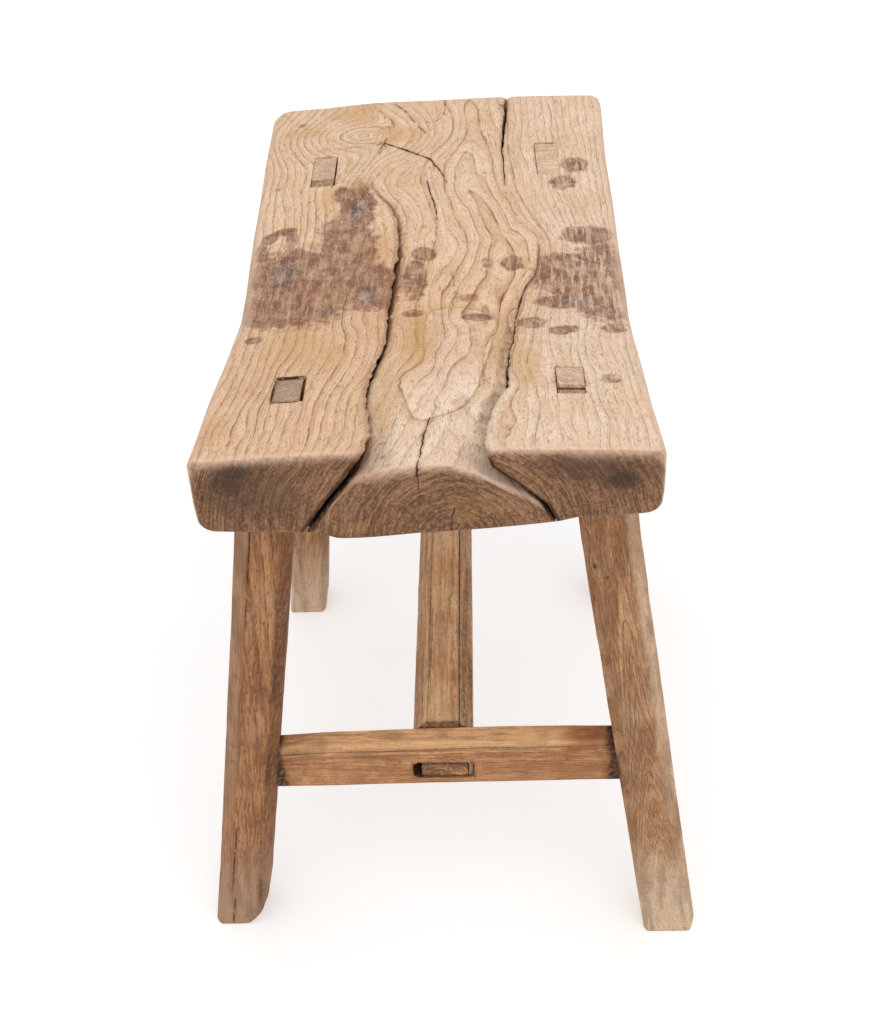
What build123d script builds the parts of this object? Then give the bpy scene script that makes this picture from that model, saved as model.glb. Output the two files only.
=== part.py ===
from build123d import *
from math import cos, radians, sqrt, tan
import os

# Saddle stool. X runs across the seat, Y along it from the front end to the back, Z up.
# The origin is on the floor, under the middle of the stool's outer box. Sizes are in millimetres.

# Seat plank
seat_length = 467
seat_width = 260
seat_thickness = 57
seat_crown = 4
seat_belly = 10
valley_height = 468
valley_shift = 26
saddle_angle = 9
saddle_radius = 80
top_arris = 4
bottom_arris = 13
front_corner = 5
back_left_corner = 22
back_right_corner = 9

# Shakes and splits in the plank
crack_width = 4.6
crack_lean = 37
heart_drop = 10
heart_rise_angle = 6

# Legs
foot_reach = 190
foot_stride = 202
leg_width = 38.5
leg_top_width = 35
leg_depth = 40
leg_chamfer = 9
chamfer_stop = 30
head_chamfer = 0.8
shoulder_band = 8

# Through tenons of the legs
tenon_spread = 85
tenon_stride = 145
tenon_width = 17
inner_shoulder = 1.5
end_shoulder = 1
tenon_sink = 1.2
wedge_depth = 36

# Rails between the legs
rail_height = 171
rail_tilt = 8
rail_depth = 41
rail_thickness = 19
rail_chamfer = 3
rail_tenon_depth = 28
rail_tenon_thickness = 9
rail_tenon_reach = 9

# Long rail
long_rail_width = 43
long_rail_depth = 44
long_rail_chamfer = 10
long_rail_shift = -2.5
long_rail_rise = 4
long_tenon_depth = 16
long_tenon_rise = 4
long_tenon_recess = 3
long_wedge_width = 4.6
long_wedge_length = 12
long_hollow_width = 6

# Fits
fit_clearance = 0.2
blind_end_gap = 1
overrun = 12

# Places along the shakes: across as a share of half the width, along as a share of half
# the length, and the width of the gap as a share of crack_width
left_crack_shares = (
    (-0.345, 0.490, 0.15),
    (-0.245, 0.405, 0.45),
    (-0.186, 0.240, 0.70),
    (-0.205, 0.020, 0.80),
    (-0.222, -0.180, 0.70),
    (-0.232, -0.427, 0.80),
    (-0.273, -0.650, 0.90),
    (-0.248, -0.800, 1.00),
    (-0.228, -0.900, 1.00),
    (-0.262, -1.030, 1.15),
)
right_crack_shares = (
    (0.565, 0.178, 0.15),
    (0.548, 0.060, 0.40),
    (0.461, -0.055, 0.60),
    (0.420, -0.260, 0.75),
    (0.365, -0.554, 0.80),
    (0.340, -0.670, 0.85),
    (0.262, -0.810, 0.95),
    (0.240, -0.900, 1.00),
    (0.262, -1.030, 1.10),
)
back_crack_shares = (
    (0.399, 0.477, 0.15),
    (0.397, 0.615, 0.45),
    (0.402, 0.750, 0.70),
    (0.423, 0.909, 1.05),
    (0.440, 1.030, 1.20),
)

# Depth of each shake below the top: along as above, deep as a share of seat_thickness
left_depth_shares = ((-1.03, 1.50), (-0.72, 0.95), (-0.10, 0.45), (0.50, 0.06))
right_depth_shares = ((-1.03, 1.50), (-0.75, 0.90), (-0.10, 0.35), (0.19, 0.06))
back_depth_shares = ((0.46, 0.05), (0.80, 0.40), (1.03, 0.62))

# Arch of the heart at the front end: across as above, down as a share of heart_drop
heart_arch_shares = ((-0.42, 3.1), (-0.01, 1.0), (0.43, 3.4))

# Bend of the worn corner of a foot, as shares of its run and rise
worn_bend_shares = (0.72, 0.38)

# How each leg departs from the common sizes, as shares of them. worn gives the foot's
# worn corner as side, run and rise, and wedges the strips in front of the tenon.
leg_shares = {
    "front_left": {
        "side": -1, "end": -1, "reach": 1.0, "stride": 0.94, "depth": 0.93, "foot": 1.0,
        "head": 0.92, "place": 1.01, "gap": 0.11, "sink": 1.0, "worn": (-1, 0.43, 1.0),
        "wedges": (("shim", 0.13, 0.6),),
    },
    "front_right": {
        "side": 1, "end": -1, "reach": 1.0, "stride": 1.0, "depth": 1.0, "foot": 1.02,
        "head": 1.08, "place": 0.988, "gap": 0.0, "sink": 0.0, "worn": (1, 0.18, 0.45),
        "wedges": (("wedge", 0.16, 1.6), ("shim", 0.19, 0.3)),
    },
    "back_left": {
        "side": -1, "end": 1, "reach": 0.89, "stride": 1.06, "depth": 0.97, "foot": 0.95,
        "head": 1.0, "place": 0.975, "gap": 0.09, "sink": 0.3, "worn": (-1, 0.15, 0.2),
        "wedges": (("wedge", 0.12, 0.6), ("shim", 0.13, 0.3)),
    },
    "back_right": {
        "side": 1, "end": 1, "reach": 0.945, "stride": 1.07, "depth": 1.06, "foot": 0.97,
        "head": 1.0, "place": 1.03, "gap": 0.0, "sink": 0.0, "worn": (-1, 0.12, 0.15),
        "wedges": (),
    },
}

# Circle of a rounded corner, as a share of the corner's radius
corner_swell_share = 1.04

slope = tan(radians(saddle_angle))
lean = tan(radians(crack_lean))
half_width = seat_width / 2
half_length = seat_length / 2
vertex_height = valley_height - saddle_radius * (1 / cos(radians(saddle_angle)) - 1)
above_seat = vertex_height + seat_length * slope + seat_thickness
below_seat = vertex_height - 2 * seat_thickness


# Upright plane that looks out of the front end
def facing_front(x, y, z):
    return Plane((x, y, z), x_dir=(1, 0, 0), z_dir=(0, -1, 0))


# Height of the top of the plank along its middle line, with the valley left sharp
def top_height(y):
    return vertex_height + abs(y + valley_shift) * slope


# Solid with the given section, swept along the saddle line past both ends
def along_saddle(section):
    end = half_length + seat_thickness
    line = FilletPolyline(
        (0, -end, top_height(-end)),
        (0, -valley_shift, vertex_height),
        (0, end, top_height(end)),
        radius=saddle_radius,
    )
    across = Plane(origin=line @ 0, x_dir=(-1, 0, 0), z_dir=line % 0)
    return sweep(across * section, path=line)


# Line of the underside across the plank
def belly():
    low_edge = seat_belly - seat_thickness
    return ThreePointArc((half_width, low_edge), (0, -seat_thickness), (-half_width, low_edge))


# Plank before it is mortised and split, cut off at its two ends
def seat_blank():
    top_edge = -seat_crown
    rim = Curve() + [
        ThreePointArc((-half_width, top_edge), (0, 0), (half_width, top_edge)),
        Line((half_width, top_edge), belly() @ 0),
        belly(),
        Line(belly() @ 1, (-half_width, top_edge)),
    ]
    section = make_face(rim)
    section = fillet(section.vertices().sort_by(Axis.Y)[-2:], top_arris)
    section = fillet(section.vertices().sort_by(Axis.Y)[:2], bottom_arris)
    front = end_waste(-1, front_corner, front_corner)
    back = end_waste(1, back_left_corner, back_right_corner)
    return along_saddle(section) - front - back


# Everything above the underside, which the legs' shoulders meet
def shoulder_waste():
    rim = Curve() + [
        belly(),
        Polyline(belly() @ 1, (-half_width, seat_thickness), (half_width, seat_thickness), belly() @ 0),
    ]
    return along_saddle(make_face(rim))


# Everything beyond one end of the plank, with the waste of its two rounded corners.
# Each corner's circle is a little larger than its radius, so it crosses both faces.
def end_waste(way, left_radius, right_radius):
    end, far = way * half_length, way * (half_length + 2 * seat_thickness)
    edge = half_width + overrun
    arcs = []
    for side, radius in ((-1, left_radius), (1, right_radius)):
        x, y = side * (half_width - radius), end - way * radius
        reach = radius * corner_swell_share
        slant = reach * cos(radians(45))
        inset = sqrt(reach * reach - radius * radius)
        arcs.append(((x + side * reach, y), (x + side * slant, y + way * slant), (x + side * inset, end)))
    left, right = arcs
    rim = Curve() + [
        ThreePointArc(*left),
        Line(left[-1], right[-1]),
        ThreePointArc(*right),
        Polyline(right[0], (edge, right[0][1]), (edge, far), (-edge, far), (-edge, left[0][1]), left[0]),
    ]
    floor = Pos(0, 0, below_seat) * make_face(rim)
    return extrude(floor, above_seat - below_seat, dir=(0, 0, 1))


# Where a leaning shake that opens at x on the top of the plank crosses the level above it.
# side is the way that it leans as it goes down, and 0 is upright.
def raised(x, y, side):
    return x - side * (above_seat - top_height(y)) * lean


# Block of everything above the bottom of a shake, over its whole width
def above_depth(depth_shares):
    floor = []
    for y_share, deep_share in depth_shares:
        y = y_share * half_length
        floor.append((y, top_height(y) - deep_share * seat_thickness))
    first, last = floor[0][0], floor[-1][0]
    rim = Polyline((first, above_seat), *floor, (last, above_seat), close=True)
    return extrude(Plane.YZ * make_face(rim), seat_width, both=True)


# Gap of one shake
def crack(shares, depth_shares, side):
    left, right = [], []
    for x_share, y_share, wide_share in shares:
        x, y = x_share * half_width, y_share * half_length
        middle = raised(x, y, side)
        gap = crack_width * wide_share / 2
        left.append((middle - gap, y))
        right.append((middle + gap, y))
    rim = Curve() + [
        Spline(*left),
        Line(left[-1], right[-1]),
        Spline(*right),
        Line(right[0], left[0]),
    ]
    mouth = Pos(0, 0, above_seat) * make_face(rim)
    way = Vector(side * lean, 0, -1)
    fall = (above_seat - below_seat) * way.length
    return extrude(mouth, fall, dir=way.normalized()) & above_depth(depth_shares)


# All the wood outside one shake, in line with its lean
def flank(shares, side):
    points = []
    for x_share, y_share, wide_share in shares:
        y = y_share * half_length
        points.append((raised(x_share * half_width, y, side), y))
    far = side * (seat_width + seat_length)
    rim = Curve() + [
        Spline(*points),
        Polyline(points[-1], (far, points[-1][1]), (far, points[0][1]), points[0]),
    ]
    mouth = Pos(0, 0, above_seat) * make_face(rim)
    way = Vector(side * lean, 0, -1)
    fall = (above_seat - below_seat) * way.length
    return extrude(mouth, fall, dir=way.normalized())


# Wood worn away above the heart tongue, between the two long shakes, at the front end
def heart_wear():
    front_top = top_height(-half_length)
    arch = [(x * half_width, front_top - d * heart_drop) for x, d in heart_arch_shares]
    left, right = arch[0][0] - seat_width / 2, arch[-1][0] + seat_width / 2
    rim = Curve() + [
        ThreePointArc(*arch),
        Polyline(arch[-1], (right, arch[-1][1]), (right, above_seat)),
        Polyline((right, above_seat), (left, above_seat), (left, arch[0][1]), arch[0]),
    ]
    end_view = facing_front(0, -half_length, 0) * make_face(rim)
    way = Vector(0, 1, tan(radians(heart_rise_angle))).normalized()
    over_arch = extrude(end_view, half_length, dir=way) + extrude(end_view, overrun, dir=-way)
    return over_arch - flank(left_crack_shares, -1) - flank(right_crack_shares, 1)


# Sizes of one leg, worked out from the common ones and its shares
class Leg:
    def __init__(self, name):
        s = leg_shares[name]
        self.name = name
        self.side, self.end = s["side"], s["end"]
        self.depth = leg_depth * s["depth"]
        self.foot_width = leg_width * s["foot"]
        self.head_width = leg_top_width * s["head"]
        self.foot_x = self.side * (foot_reach * s["reach"] - self.foot_width / 2)
        self.foot_y = self.end * (foot_stride * s["stride"] - self.depth / 2)
        self.tenon_x = self.side * tenon_spread
        head_inner = tenon_spread - tenon_width / 2 - inner_shoulder
        self.head_x = self.side * (head_inner + self.head_width / 2)
        self.head_y = self.end * tenon_stride * s["place"]
        self.head_height = top_height(self.head_y)
        self.mortise_length = self.depth - 2 * end_shoulder
        self.inner_gap = tenon_width * s["gap"]
        self.sink = tenon_sink * s["sink"]
        self.wedges = s["wedges"]
        self.worn = s["worn"]

    # Middle of the leg at a height
    def centre(self, height):
        t = height / self.head_height
        return (
            self.foot_x + (self.head_x - self.foot_x) * t,
            self.foot_y + (self.head_y - self.foot_y) * t,
        )

    # Eight-sided level section of the leg at a height
    def section(self, height, cut):
        t = height / self.head_height
        width = self.foot_width + (self.head_width - self.foot_width) * t
        x, y = self.centre(height)
        face = chamfer(Rectangle(width, self.depth).vertices(), cut)
        return Pos(x, y, height) * face

    # The cut arrises stop under the seat, where the leg is full again for its shoulder
    def blank(self):
        full = self.head_height - seat_thickness - shoulder_band
        levels = (
            (0, leg_chamfer),
            (full - chamfer_stop, leg_chamfer),
            (full, head_chamfer),
            (self.head_height - seat_thickness / 2, head_chamfer),
        )
        return loft([self.section(height, cut) for height, cut in levels], ruled=True)

    # Upright bar along the leg's line through the seat, between two places measured from
    # the middle of the tenon across and from the front of the mortise along
    def through(self, x_low, x_high, y_low, y_high, low, high):
        faces = []
        for height in (low, high):
            x, y = self.centre(height)
            x += self.tenon_x - self.head_x + (x_low + x_high) / 2
            y += (y_low + y_high - self.mortise_length) / 2
            faces.append(Pos(x, y, height) * Rectangle(x_high - x_low, y_high - y_low))
        return loft(faces, ruled=True)

    # The tenon fills the mortise behind its wedges
    def tenon_front(self):
        return self.mortise_length * sum(share for kind, share, sink in self.wedges)

    def tenon(self, low, high):
        half = tenon_width / 2
        return self.through(-half, half, self.tenon_front(), self.mortise_length, low, high)

    def mortise(self):
        half = tenon_width / 2 + fit_clearance
        x_low, x_high = -half, half
        if self.side < 0:
            x_high += self.inner_gap
        else:
            x_low -= self.inner_gap
        y_high = self.mortise_length + fit_clearance
        return self.through(x_low, x_high, -fit_clearance, y_high, below_seat, above_seat)

    # Corner of the foot that is worn off in a curve
    def worn_corner(self):
        way, run_share, rise_share = self.worn
        way *= self.side
        run, rise = leg_width * run_share, leg_width * rise_share
        x_low = self.foot_x + way * (self.foot_width / 2 - run)
        x_high = self.centre(rise)[0] + way * self.foot_width / 2
        x_far = x_high + way * leg_width
        run_share, rise_share = worn_bend_shares
        bend = (x_low + (x_high - x_low) * run_share, rise * rise_share)
        rim = Curve() + [
            ThreePointArc((x_low, 0), bend, (x_high, rise)),
            Polyline((x_high, rise), (x_far, rise), (x_far, -overrun)),
            Polyline((x_far, -overrun), (x_low, -overrun), (x_low, 0)),
        ]
        side_view = Plane.XZ * make_face(rim)
        return Pos(0, self.foot_y, 0) * extrude(side_view, leg_depth, both=True)

    # Leg with its shoulder cut to the underside of the seat and its tenon through it
    def solid(self, blank_seat, above_shoulders):
        low = self.head_height - seat_thickness - shoulder_band / 2
        middle = self.head_height - seat_thickness / 2
        end = self.tenon(middle, above_seat) & (Pos(0, 0, -self.sink) * blank_seat)
        body = self.blank() - above_shoulders - self.worn_corner()
        return body + self.tenon(low, middle) + end

    # Strips that tighten the tenon, in front of it in the same mortise
    def wedge_solids(self, blank_seat):
        strips = {}
        y = self.tenon_front()
        half = tenon_width / 2
        for kind, share, sink_share in self.wedges:
            thick = self.mortise_length * share
            low = self.head_height - wedge_depth
            strip = self.through(-half, half, y - thick, y - fit_clearance, low, above_seat)
            top = Pos(0, 0, -tenon_sink * sink_share) * blank_seat
            strips[kind + "_" + self.name] = strip & top
            y -= thick
        return strips


# Straight rail from one leg to another, with the frame that it is drawn in
class Rail:
    def __init__(self, left, right, left_height, right_height):
        a = Vector(*left.centre(left_height), left_height)
        b = Vector(*right.centre(right_height), right_height)
        along = (b - a).normalized()
        level = Vector(0, 0, 1).cross(along).normalized()
        self.length = (b - a).length
        self.frame = Plane(origin=(a + b) * 0.5, x_dir=along, z_dir=along.cross(level))

    def bar(self, face, length):
        return self.frame.location * extrude(Plane.YZ * face, length / 2, both=True)

    def blank(self):
        face = Rectangle(rail_thickness, rail_depth)
        return self.bar(chamfer(face.vertices(), rail_chamfer), self.length)

    def tenon(self, clearance=0, end_gap=0):
        face = Rectangle(rail_tenon_thickness + 2 * clearance, rail_tenon_depth + 2 * clearance)
        return self.bar(face, self.length + 2 * (rail_tenon_reach + end_gap))

    # Everything level with the rail's thickness, however high, to stop the long rail
    def wall(self):
        return self.bar(Rectangle(rail_thickness, seat_length), self.length)


blank_seat = seat_blank()
legs = {name: Leg(name) for name in leg_shares}
front_rail = Rail(
    legs["front_left"],
    legs["front_right"],
    rail_height - rail_tilt / 2,
    rail_height + rail_tilt / 2,
)
back_rail = Rail(legs["back_left"], legs["back_right"], rail_height, rail_height)


# Bar along the long rail, from its section, measured across from the rail's middle line
# and up from the lower edge of the end rails, and between two places along Y
def long_bar(section, y_low, y_high):
    end_view = facing_front(long_rail_shift, y_high, rail_height - rail_depth / 2)
    return extrude(end_view * section, y_high - y_low)


def long_box(x_low, x_high, z_low, z_high, y_low, y_high):
    face = Rectangle(x_high - x_low, z_high - z_low)
    section = Pos((x_low + x_high) / 2, (z_low + z_high) / 2) * face
    return long_bar(section, y_low, y_high)


def long_rail_parts():
    half = long_rail_width / 2
    low, high = long_rail_rise, long_rail_rise + long_rail_depth
    tenon_low = low + long_tenon_rise
    tenon_high = tenon_low + long_tenon_depth
    front_y, back_y = front_rail.frame.origin.Y, back_rail.frame.origin.Y
    front_face = front_y - rail_thickness / 2
    back_face = back_y + rail_thickness / 2
    middle = (front_y + back_y) / 2

    # Body with its upper arrises cut off, stopped by the two end rails
    section = Pos(0, (low + high) / 2) * Rectangle(long_rail_width, long_rail_depth)
    section = chamfer(section.vertices().sort_by(Axis.Y)[-2:], long_rail_chamfer)
    body = long_bar(section, front_y, back_y) - front_rail.wall() - back_rail.wall()

    # Tenon through the front rail, with the wedge on its right and a hollow on its left
    tenon_left = long_hollow_width - half
    tenon_right = half - long_wedge_width
    front_end = front_face + long_tenon_recess
    front_tenon = long_box(tenon_left, tenon_right, tenon_low, tenon_high, front_end, middle)
    wedge_end = front_end + long_wedge_length
    wedge = long_box(tenon_right + fit_clearance, half, tenon_low, tenon_high, front_end, wedge_end)

    # Tenon through the back rail, the full width of the rail
    back_end = back_face - long_tenon_recess / 2
    back_tenon = long_box(-half, half, tenon_low, tenon_high, middle, back_end)
    c = fit_clearance
    hole = (-half - c, half + c, tenon_low - c, tenon_high + c)
    front_hole = long_box(*hole, front_face - overrun, front_face + rail_thickness + overrun)
    back_hole = long_box(*hole, back_face - rail_thickness - overrun, back_face + overrun)
    return body + front_tenon + back_tenon, wedge, front_hole, back_hole


long_rail, long_wedge, front_hole, back_hole = long_rail_parts()

pieces = {}

seat = blank_seat
for leg in legs.values():
    seat -= leg.mortise()
seat -= heart_wear()
seat -= crack(left_crack_shares, left_depth_shares, -1)
seat -= crack(right_crack_shares, right_depth_shares, 1)
seat -= crack(back_crack_shares, back_depth_shares, 0)
pieces["seat"] = seat

above_shoulders = shoulder_waste()
for name, leg in legs.items():
    rail = front_rail if leg.end < 0 else back_rail
    whole = leg.solid(blank_seat, above_shoulders)
    pieces["leg_" + name] = whole - rail.tenon(fit_clearance, blind_end_gap)
    pieces.update(leg.wedge_solids(blank_seat))

for name, rail, hole in (("front", front_rail, front_hole), ("back", back_rail, back_hole)):
    body = rail.blank()
    for leg in legs.values():
        body -= leg.blank()
    pieces["stretcher_" + name] = body + rail.tenon() - hole

pieces["stretcher_centre"] = long_rail
pieces["wedge_centre_rail"] = long_wedge

# The whole stool is set on the floor with the middle of its outer box over the origin
box = blank_seat.bounding_box()
for piece in pieces.values():
    box = box.add(piece.bounding_box())
to_origin = Pos(-box.center().X, -box.center().Y, -box.min.Z)
os.makedirs("parts", exist_ok=True)
for name, piece in pieces.items():
    export_step(to_origin * piece, f"parts/{name}.step")
print("moved", to_origin.position, "outer box", box.size)
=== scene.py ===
import math
import bmesh
import bpy
import numpy as np
from mathutils import Matrix, Vector


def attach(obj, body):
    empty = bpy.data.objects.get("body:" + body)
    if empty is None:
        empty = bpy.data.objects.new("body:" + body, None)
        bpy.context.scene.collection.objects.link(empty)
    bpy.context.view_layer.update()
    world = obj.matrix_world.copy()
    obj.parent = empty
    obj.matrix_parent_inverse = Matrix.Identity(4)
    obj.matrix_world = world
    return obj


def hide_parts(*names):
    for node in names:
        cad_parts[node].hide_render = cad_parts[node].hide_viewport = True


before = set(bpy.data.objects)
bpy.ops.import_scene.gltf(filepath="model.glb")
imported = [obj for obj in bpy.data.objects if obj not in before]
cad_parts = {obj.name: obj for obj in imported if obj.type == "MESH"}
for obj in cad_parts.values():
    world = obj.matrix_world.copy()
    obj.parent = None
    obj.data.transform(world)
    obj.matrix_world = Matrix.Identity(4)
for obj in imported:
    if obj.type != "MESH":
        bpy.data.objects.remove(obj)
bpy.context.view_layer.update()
mm = 0.001
shift = 1.31    # the seat's middle line lies this far to the right of the frame's


# a node tree with short ways to add to it, and the colour and height laid so far
class Net:
    def __init__(self, tree):
        self.tree, self.color, self.height = tree, None, None

    def plug(self, value, socket):
        if isinstance(value, bpy.types.NodeSocket):
            self.tree.links.new(value, socket)
        else:
            socket.default_value = value

    def add(self, kind, inputs=None, **settings):
        made = self.tree.nodes.new("ShaderNode" + kind)
        for name, value in settings.items():
            setattr(made, name, value)
        for name, value in (inputs or {}).items():
            self.plug(value, made.inputs[name])
        return made

    def calc(self, operation, *values):
        return self.add("Math", dict(enumerate(values)), operation=operation).outputs[0]

    def times(self, a, b):
        return self.calc("MULTIPLY", a, b)

    def timesPlus(self, a, b, c):
        return self.calc("MULTIPLY_ADD", a, b, c)

    def ease(self, value, low, high, start=0, stop=1):
        ends = {"Value": value, "From Min": low, "From Max": high, "To Min": start, "To Max": stop}
        return self.add("MapRange", ends, interpolation_type="SMOOTHSTEP").outputs[0]

    def noise(self, place, size, detail=2, roughness=0.5, scale=(1, 1, 1)):
        stretch = tuple(share / size for share in scale)
        spread = self.add("VectorMath", {0: place, 1: stretch}, operation="MULTIPLY").outputs[0]
        inputs = {"Vector": spread, "Scale": 1, "Detail": detail, "Roughness": roughness}
        return self.add("TexNoise", inputs).outputs[0]

    # noise about 0, as wide as the given reach
    def drift(self, reach, *args):
        return self.times(self.calc("SUBTRACT", self.noise(*args), 0.5), reach)

    def mix(self, factor, a, b, mode="MIX"):
        made = self.add("Mix", {0: factor}, data_type="RGBA", blend_type=mode)
        for index, value in ((6, a), (7, b)):
            self.plug((*value, 1) if isinstance(value, tuple) else value, made.inputs[index])
        return made.outputs[2]

    # a colour laid over what is there
    def lay(self, mask, color, share=None):
        self.color = self.mix(mask if share is None else self.times(mask, share), self.color, color)

    def raiseBy(self, mask, share):
        self.height = self.timesPlus(mask, share, self.height)

    def read(self, name):
        made = self.add("Attribute", attribute_name=name)
        return made.outputs["Vector" if name == "grain" else "Fac"]

    def use(self, group, **inputs):
        made = self.add("Group", node_tree=bpy.data.node_groups[group])
        for name, value in inputs.items():
            self.plug(value, made.inputs[name.replace("_", " ")])
        return made.outputs


studio = {
    "cameraPlace": (0.03509, -0.82458, 0.93339), "pitch": 38.843, "yaw": -2.533, "roll": -2.978,
    "lens": 47.46, "sensor": 36, "worldStrength": 0.7, "lampAim": (0, 0, 0.25),
    "lamps": {"key": (9.0, 1.8, (0.15, -0.8, 2.0)), "fill": (3.0, 2.0, (0.8, -1.6, 1.2))},   # energy, size, place
    "floorColor": (0.8, 0.8, 0.8, 1), "floorSize": 14, "floorGlow": 0.41, "whiteFrom": 0.9, "whiteBy": 3.5,
}


def link(thing):
    bpy.context.scene.collection.objects.link(thing)
    return thing


def makeCamera():
    pitch, yaw, roll = (math.radians(studio[k]) for k in ("pitch", "yaw", "roll"))
    forward = Vector((math.sin(yaw) * math.cos(pitch), math.cos(yaw) * math.cos(pitch), -math.sin(pitch)))
    level = Vector((math.cos(yaw), -math.sin(yaw), 0))
    above = level.cross(forward)
    right = math.cos(roll) * level + math.sin(roll) * above
    up = -math.sin(roll) * level + math.cos(roll) * above
    turn = Matrix((right, up, -forward)).transposed().to_4x4()
    data = bpy.data.cameras.new("camera")
    data.lens, data.sensor_width = studio["lens"], studio["sensor"]
    camera = link(bpy.data.objects.new("camera", data))
    camera.matrix_world = Matrix.Translation(studio["cameraPlace"]) @ turn
    bpy.context.scene.camera = camera


def makeLamp(name, energy, size, place):
    data = bpy.data.lights.new(name, "AREA")
    data.energy, data.size = energy, size
    lamp = link(bpy.data.objects.new(name, data))
    lamp.location = place
    lamp.rotation_euler = (Vector(studio["lampAim"]) - Vector(place)).to_track_quat("-Z", "Y").to_euler()


# 1 wherever the camera, a gloss or a clear ray looks
def seenDirectly(net):
    path = net.add("LightPath").outputs
    first = net.calc("MAXIMUM", path["Is Camera Ray"], path["Is Glossy Ray"])
    return net.calc("MAXIMUM", first, path["Is Transmission Ray"])


def makeStudio():
    world = bpy.data.worlds.new("studio")
    bpy.context.scene.world = world
    world.use_nodes = True
    net = Net(world.node_tree)
    level = net.add("MapRange", {"To Min": studio["worldStrength"], "To Max": 1, "Value": seenDirectly(net)})
    back = world.node_tree.nodes["Background"].inputs
    back["Color"].default_value = (1, 1, 1, 1)
    net.plug(level.outputs[0], back["Strength"])

    half = studio["floorSize"] / 2
    mesh = bpy.data.meshes.new("floor")
    mesh.from_pydata([(-half, -half, 0), (half, -half, 0), (half, half, 0), (-half, half, 0)], [], [(0, 1, 2, 3)])
    floor = link(bpy.data.objects.new("floor", mesh))
    material = bpy.data.materials.new("floorPaper")
    material.use_nodes = True
    net = Net(material.node_tree)
    shader = material.node_tree.nodes["Principled BSDF"]
    # the paper glows a little where it is looked at, and is plain white far out
    length = net.add("VectorMath", {0: net.add("TexCoord").outputs["Object"]}, operation="LENGTH")
    far = {"From Min": studio["whiteFrom"], "From Max": studio["whiteBy"], "To Min": studio["floorGlow"]}
    glow = net.add("MapRange", {"Value": length.outputs["Value"], **far}).outputs[0]
    for name, value in {
        "Base Color": studio["floorColor"], "Roughness": 1, "Specular IOR Level": 0,
        "Emission Color": (1, 1, 1, 1), "Emission Strength": net.times(seenDirectly(net), glow),
    }.items():
        net.plug(value, shader.inputs[name])
    # from below the paper is clear, so that the underside can be looked at
    below = net.add("NewGeometry").outputs["Backfacing"]
    either = net.add("MixShader", {0: below, 1: shader.outputs[0], 2: net.add("BsdfTransparent").outputs[0]})
    net.plug(either.outputs[0], material.node_tree.nodes["Material Output"].inputs["Surface"])
    mesh.materials.append(material)

    for name, lamp in studio["lamps"].items():
        makeLamp(name, *lamp)
    bpy.context.scene.view_settings.view_transform = "Standard"
    print("studio made")


# smooth noise from -1 to 1 on a periodic lattice, points in mm and scale in mm per cell
def valueNoise(points, scale, seed, size=32):
    lattice = np.random.default_rng(seed).uniform(-1, 1, (size, size, size))
    p = np.asarray(points, float) / scale
    cell = np.floor(p).astype(int)
    f = p - cell
    f = f * f * (3 - 2 * f)
    total = 0
    for corner in np.ndindex(2, 2, 2):
        weights = np.where(corner, f, 1 - f)
        i, j, k = ((cell + corner) % size).T
        total = total + weights[:, 0] * weights[:, 1] * weights[:, 2] * lattice[i, j, k]
    return total


def lineNoise(values, scale, seed, axis=1):
    points = np.zeros((len(values), 3))
    points[:, axis] = values
    return valueNoise(points, scale, seed)


def smoothStep(low, high, x):
    t = np.clip((x - low) / (high - low), 0, 1)
    return t * t * (3 - 2 * t)


def bell(x, width, power=2):
    return np.exp(-np.abs(x / width) ** power)


# 1 up to an edge, and falling away beyond it
def trail(beyond, reach):
    return np.exp(-np.clip(beyond, 0, 99) / reach)


def highest(*fields):
    return np.maximum.reduce(np.broadcast_arrays(*fields))


# how far a rounded arris stays behind its face, at a distance from the edge
def roundedOff(gap, radius):
    inner = np.clip(radius - gap, 0, radius)
    return radius - np.sqrt(radius ** 2 - inner ** 2)


def along(table, x):
    table = sorted(table)
    return np.interp(x, [row[0] for row in table], [row[1] for row in table])


# signed distance to a polyline in plan, and how far along it (0 to 1) the nearest place is
def lineDistance(points, line):
    line = np.asarray(line, float)
    steps = np.diff(line, axis=0)
    lengths = np.hypot(*steps.T)
    before = np.concatenate([[0], np.cumsum(lengths)])
    best = np.full(len(points), 1e9)
    signed, share = np.zeros((2, len(points)))
    for a, step, length, start in zip(line, steps, lengths, before):
        rel = points[:, :2] - a
        t = np.clip(rel @ step / length ** 2, 0, 1)
        distance = np.hypot(*(rel - t[:, None] * step).T)
        nearer = distance < best
        best[nearer] = distance[nearer]
        side = np.sign(step[0] * rel[:, 1] - step[1] * rel[:, 0])
        signed[nearer] = (side * distance)[nearer]
        share[nearer] = ((start + t * length) / before[-1])[nearer]
    return signed, share


# signed distance to the nearest of several thin cracks, and half its width there
def crackFields(points, cracks, farthest=50.0, reach=12):
    signed = np.full(len(points), farthest)
    half = np.full(len(points), -1.0)
    for size, *line in cracks:
        distance, share = lineDistance(points, line)
        size = size * (1 - 2.2 * (share - 0.45) ** 2)            # thinner towards its ends
        beyond = (share <= 0.001) | (share >= 0.999)
        nearer = (np.abs(distance) < np.abs(signed)) & (np.abs(distance) < reach)
        signed = np.where(nearer, distance, signed)
        half = np.where(nearer, np.where(beyond, size - 0.12 * np.abs(distance), size), half)
    return signed, half


# 1 in the middle of a spot, 0 at its rim and less outside
def spotField(x, y, spots):
    field = np.full(len(x), -9.0)
    for cx, cy, rx, ry, *more in spots:
        turn, peak = (*more, *(0, 1)[len(more):])
        dx, dy, turn = x - cx, y - cy, math.radians(turn)
        u = dx * math.cos(turn) + dy * math.sin(turn)
        w = dy * math.cos(turn) - dx * math.sin(turn)
        field = np.maximum(field, np.minimum(peak, 1 - np.hypot(u / rx, w / ry)))
    return field


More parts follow.
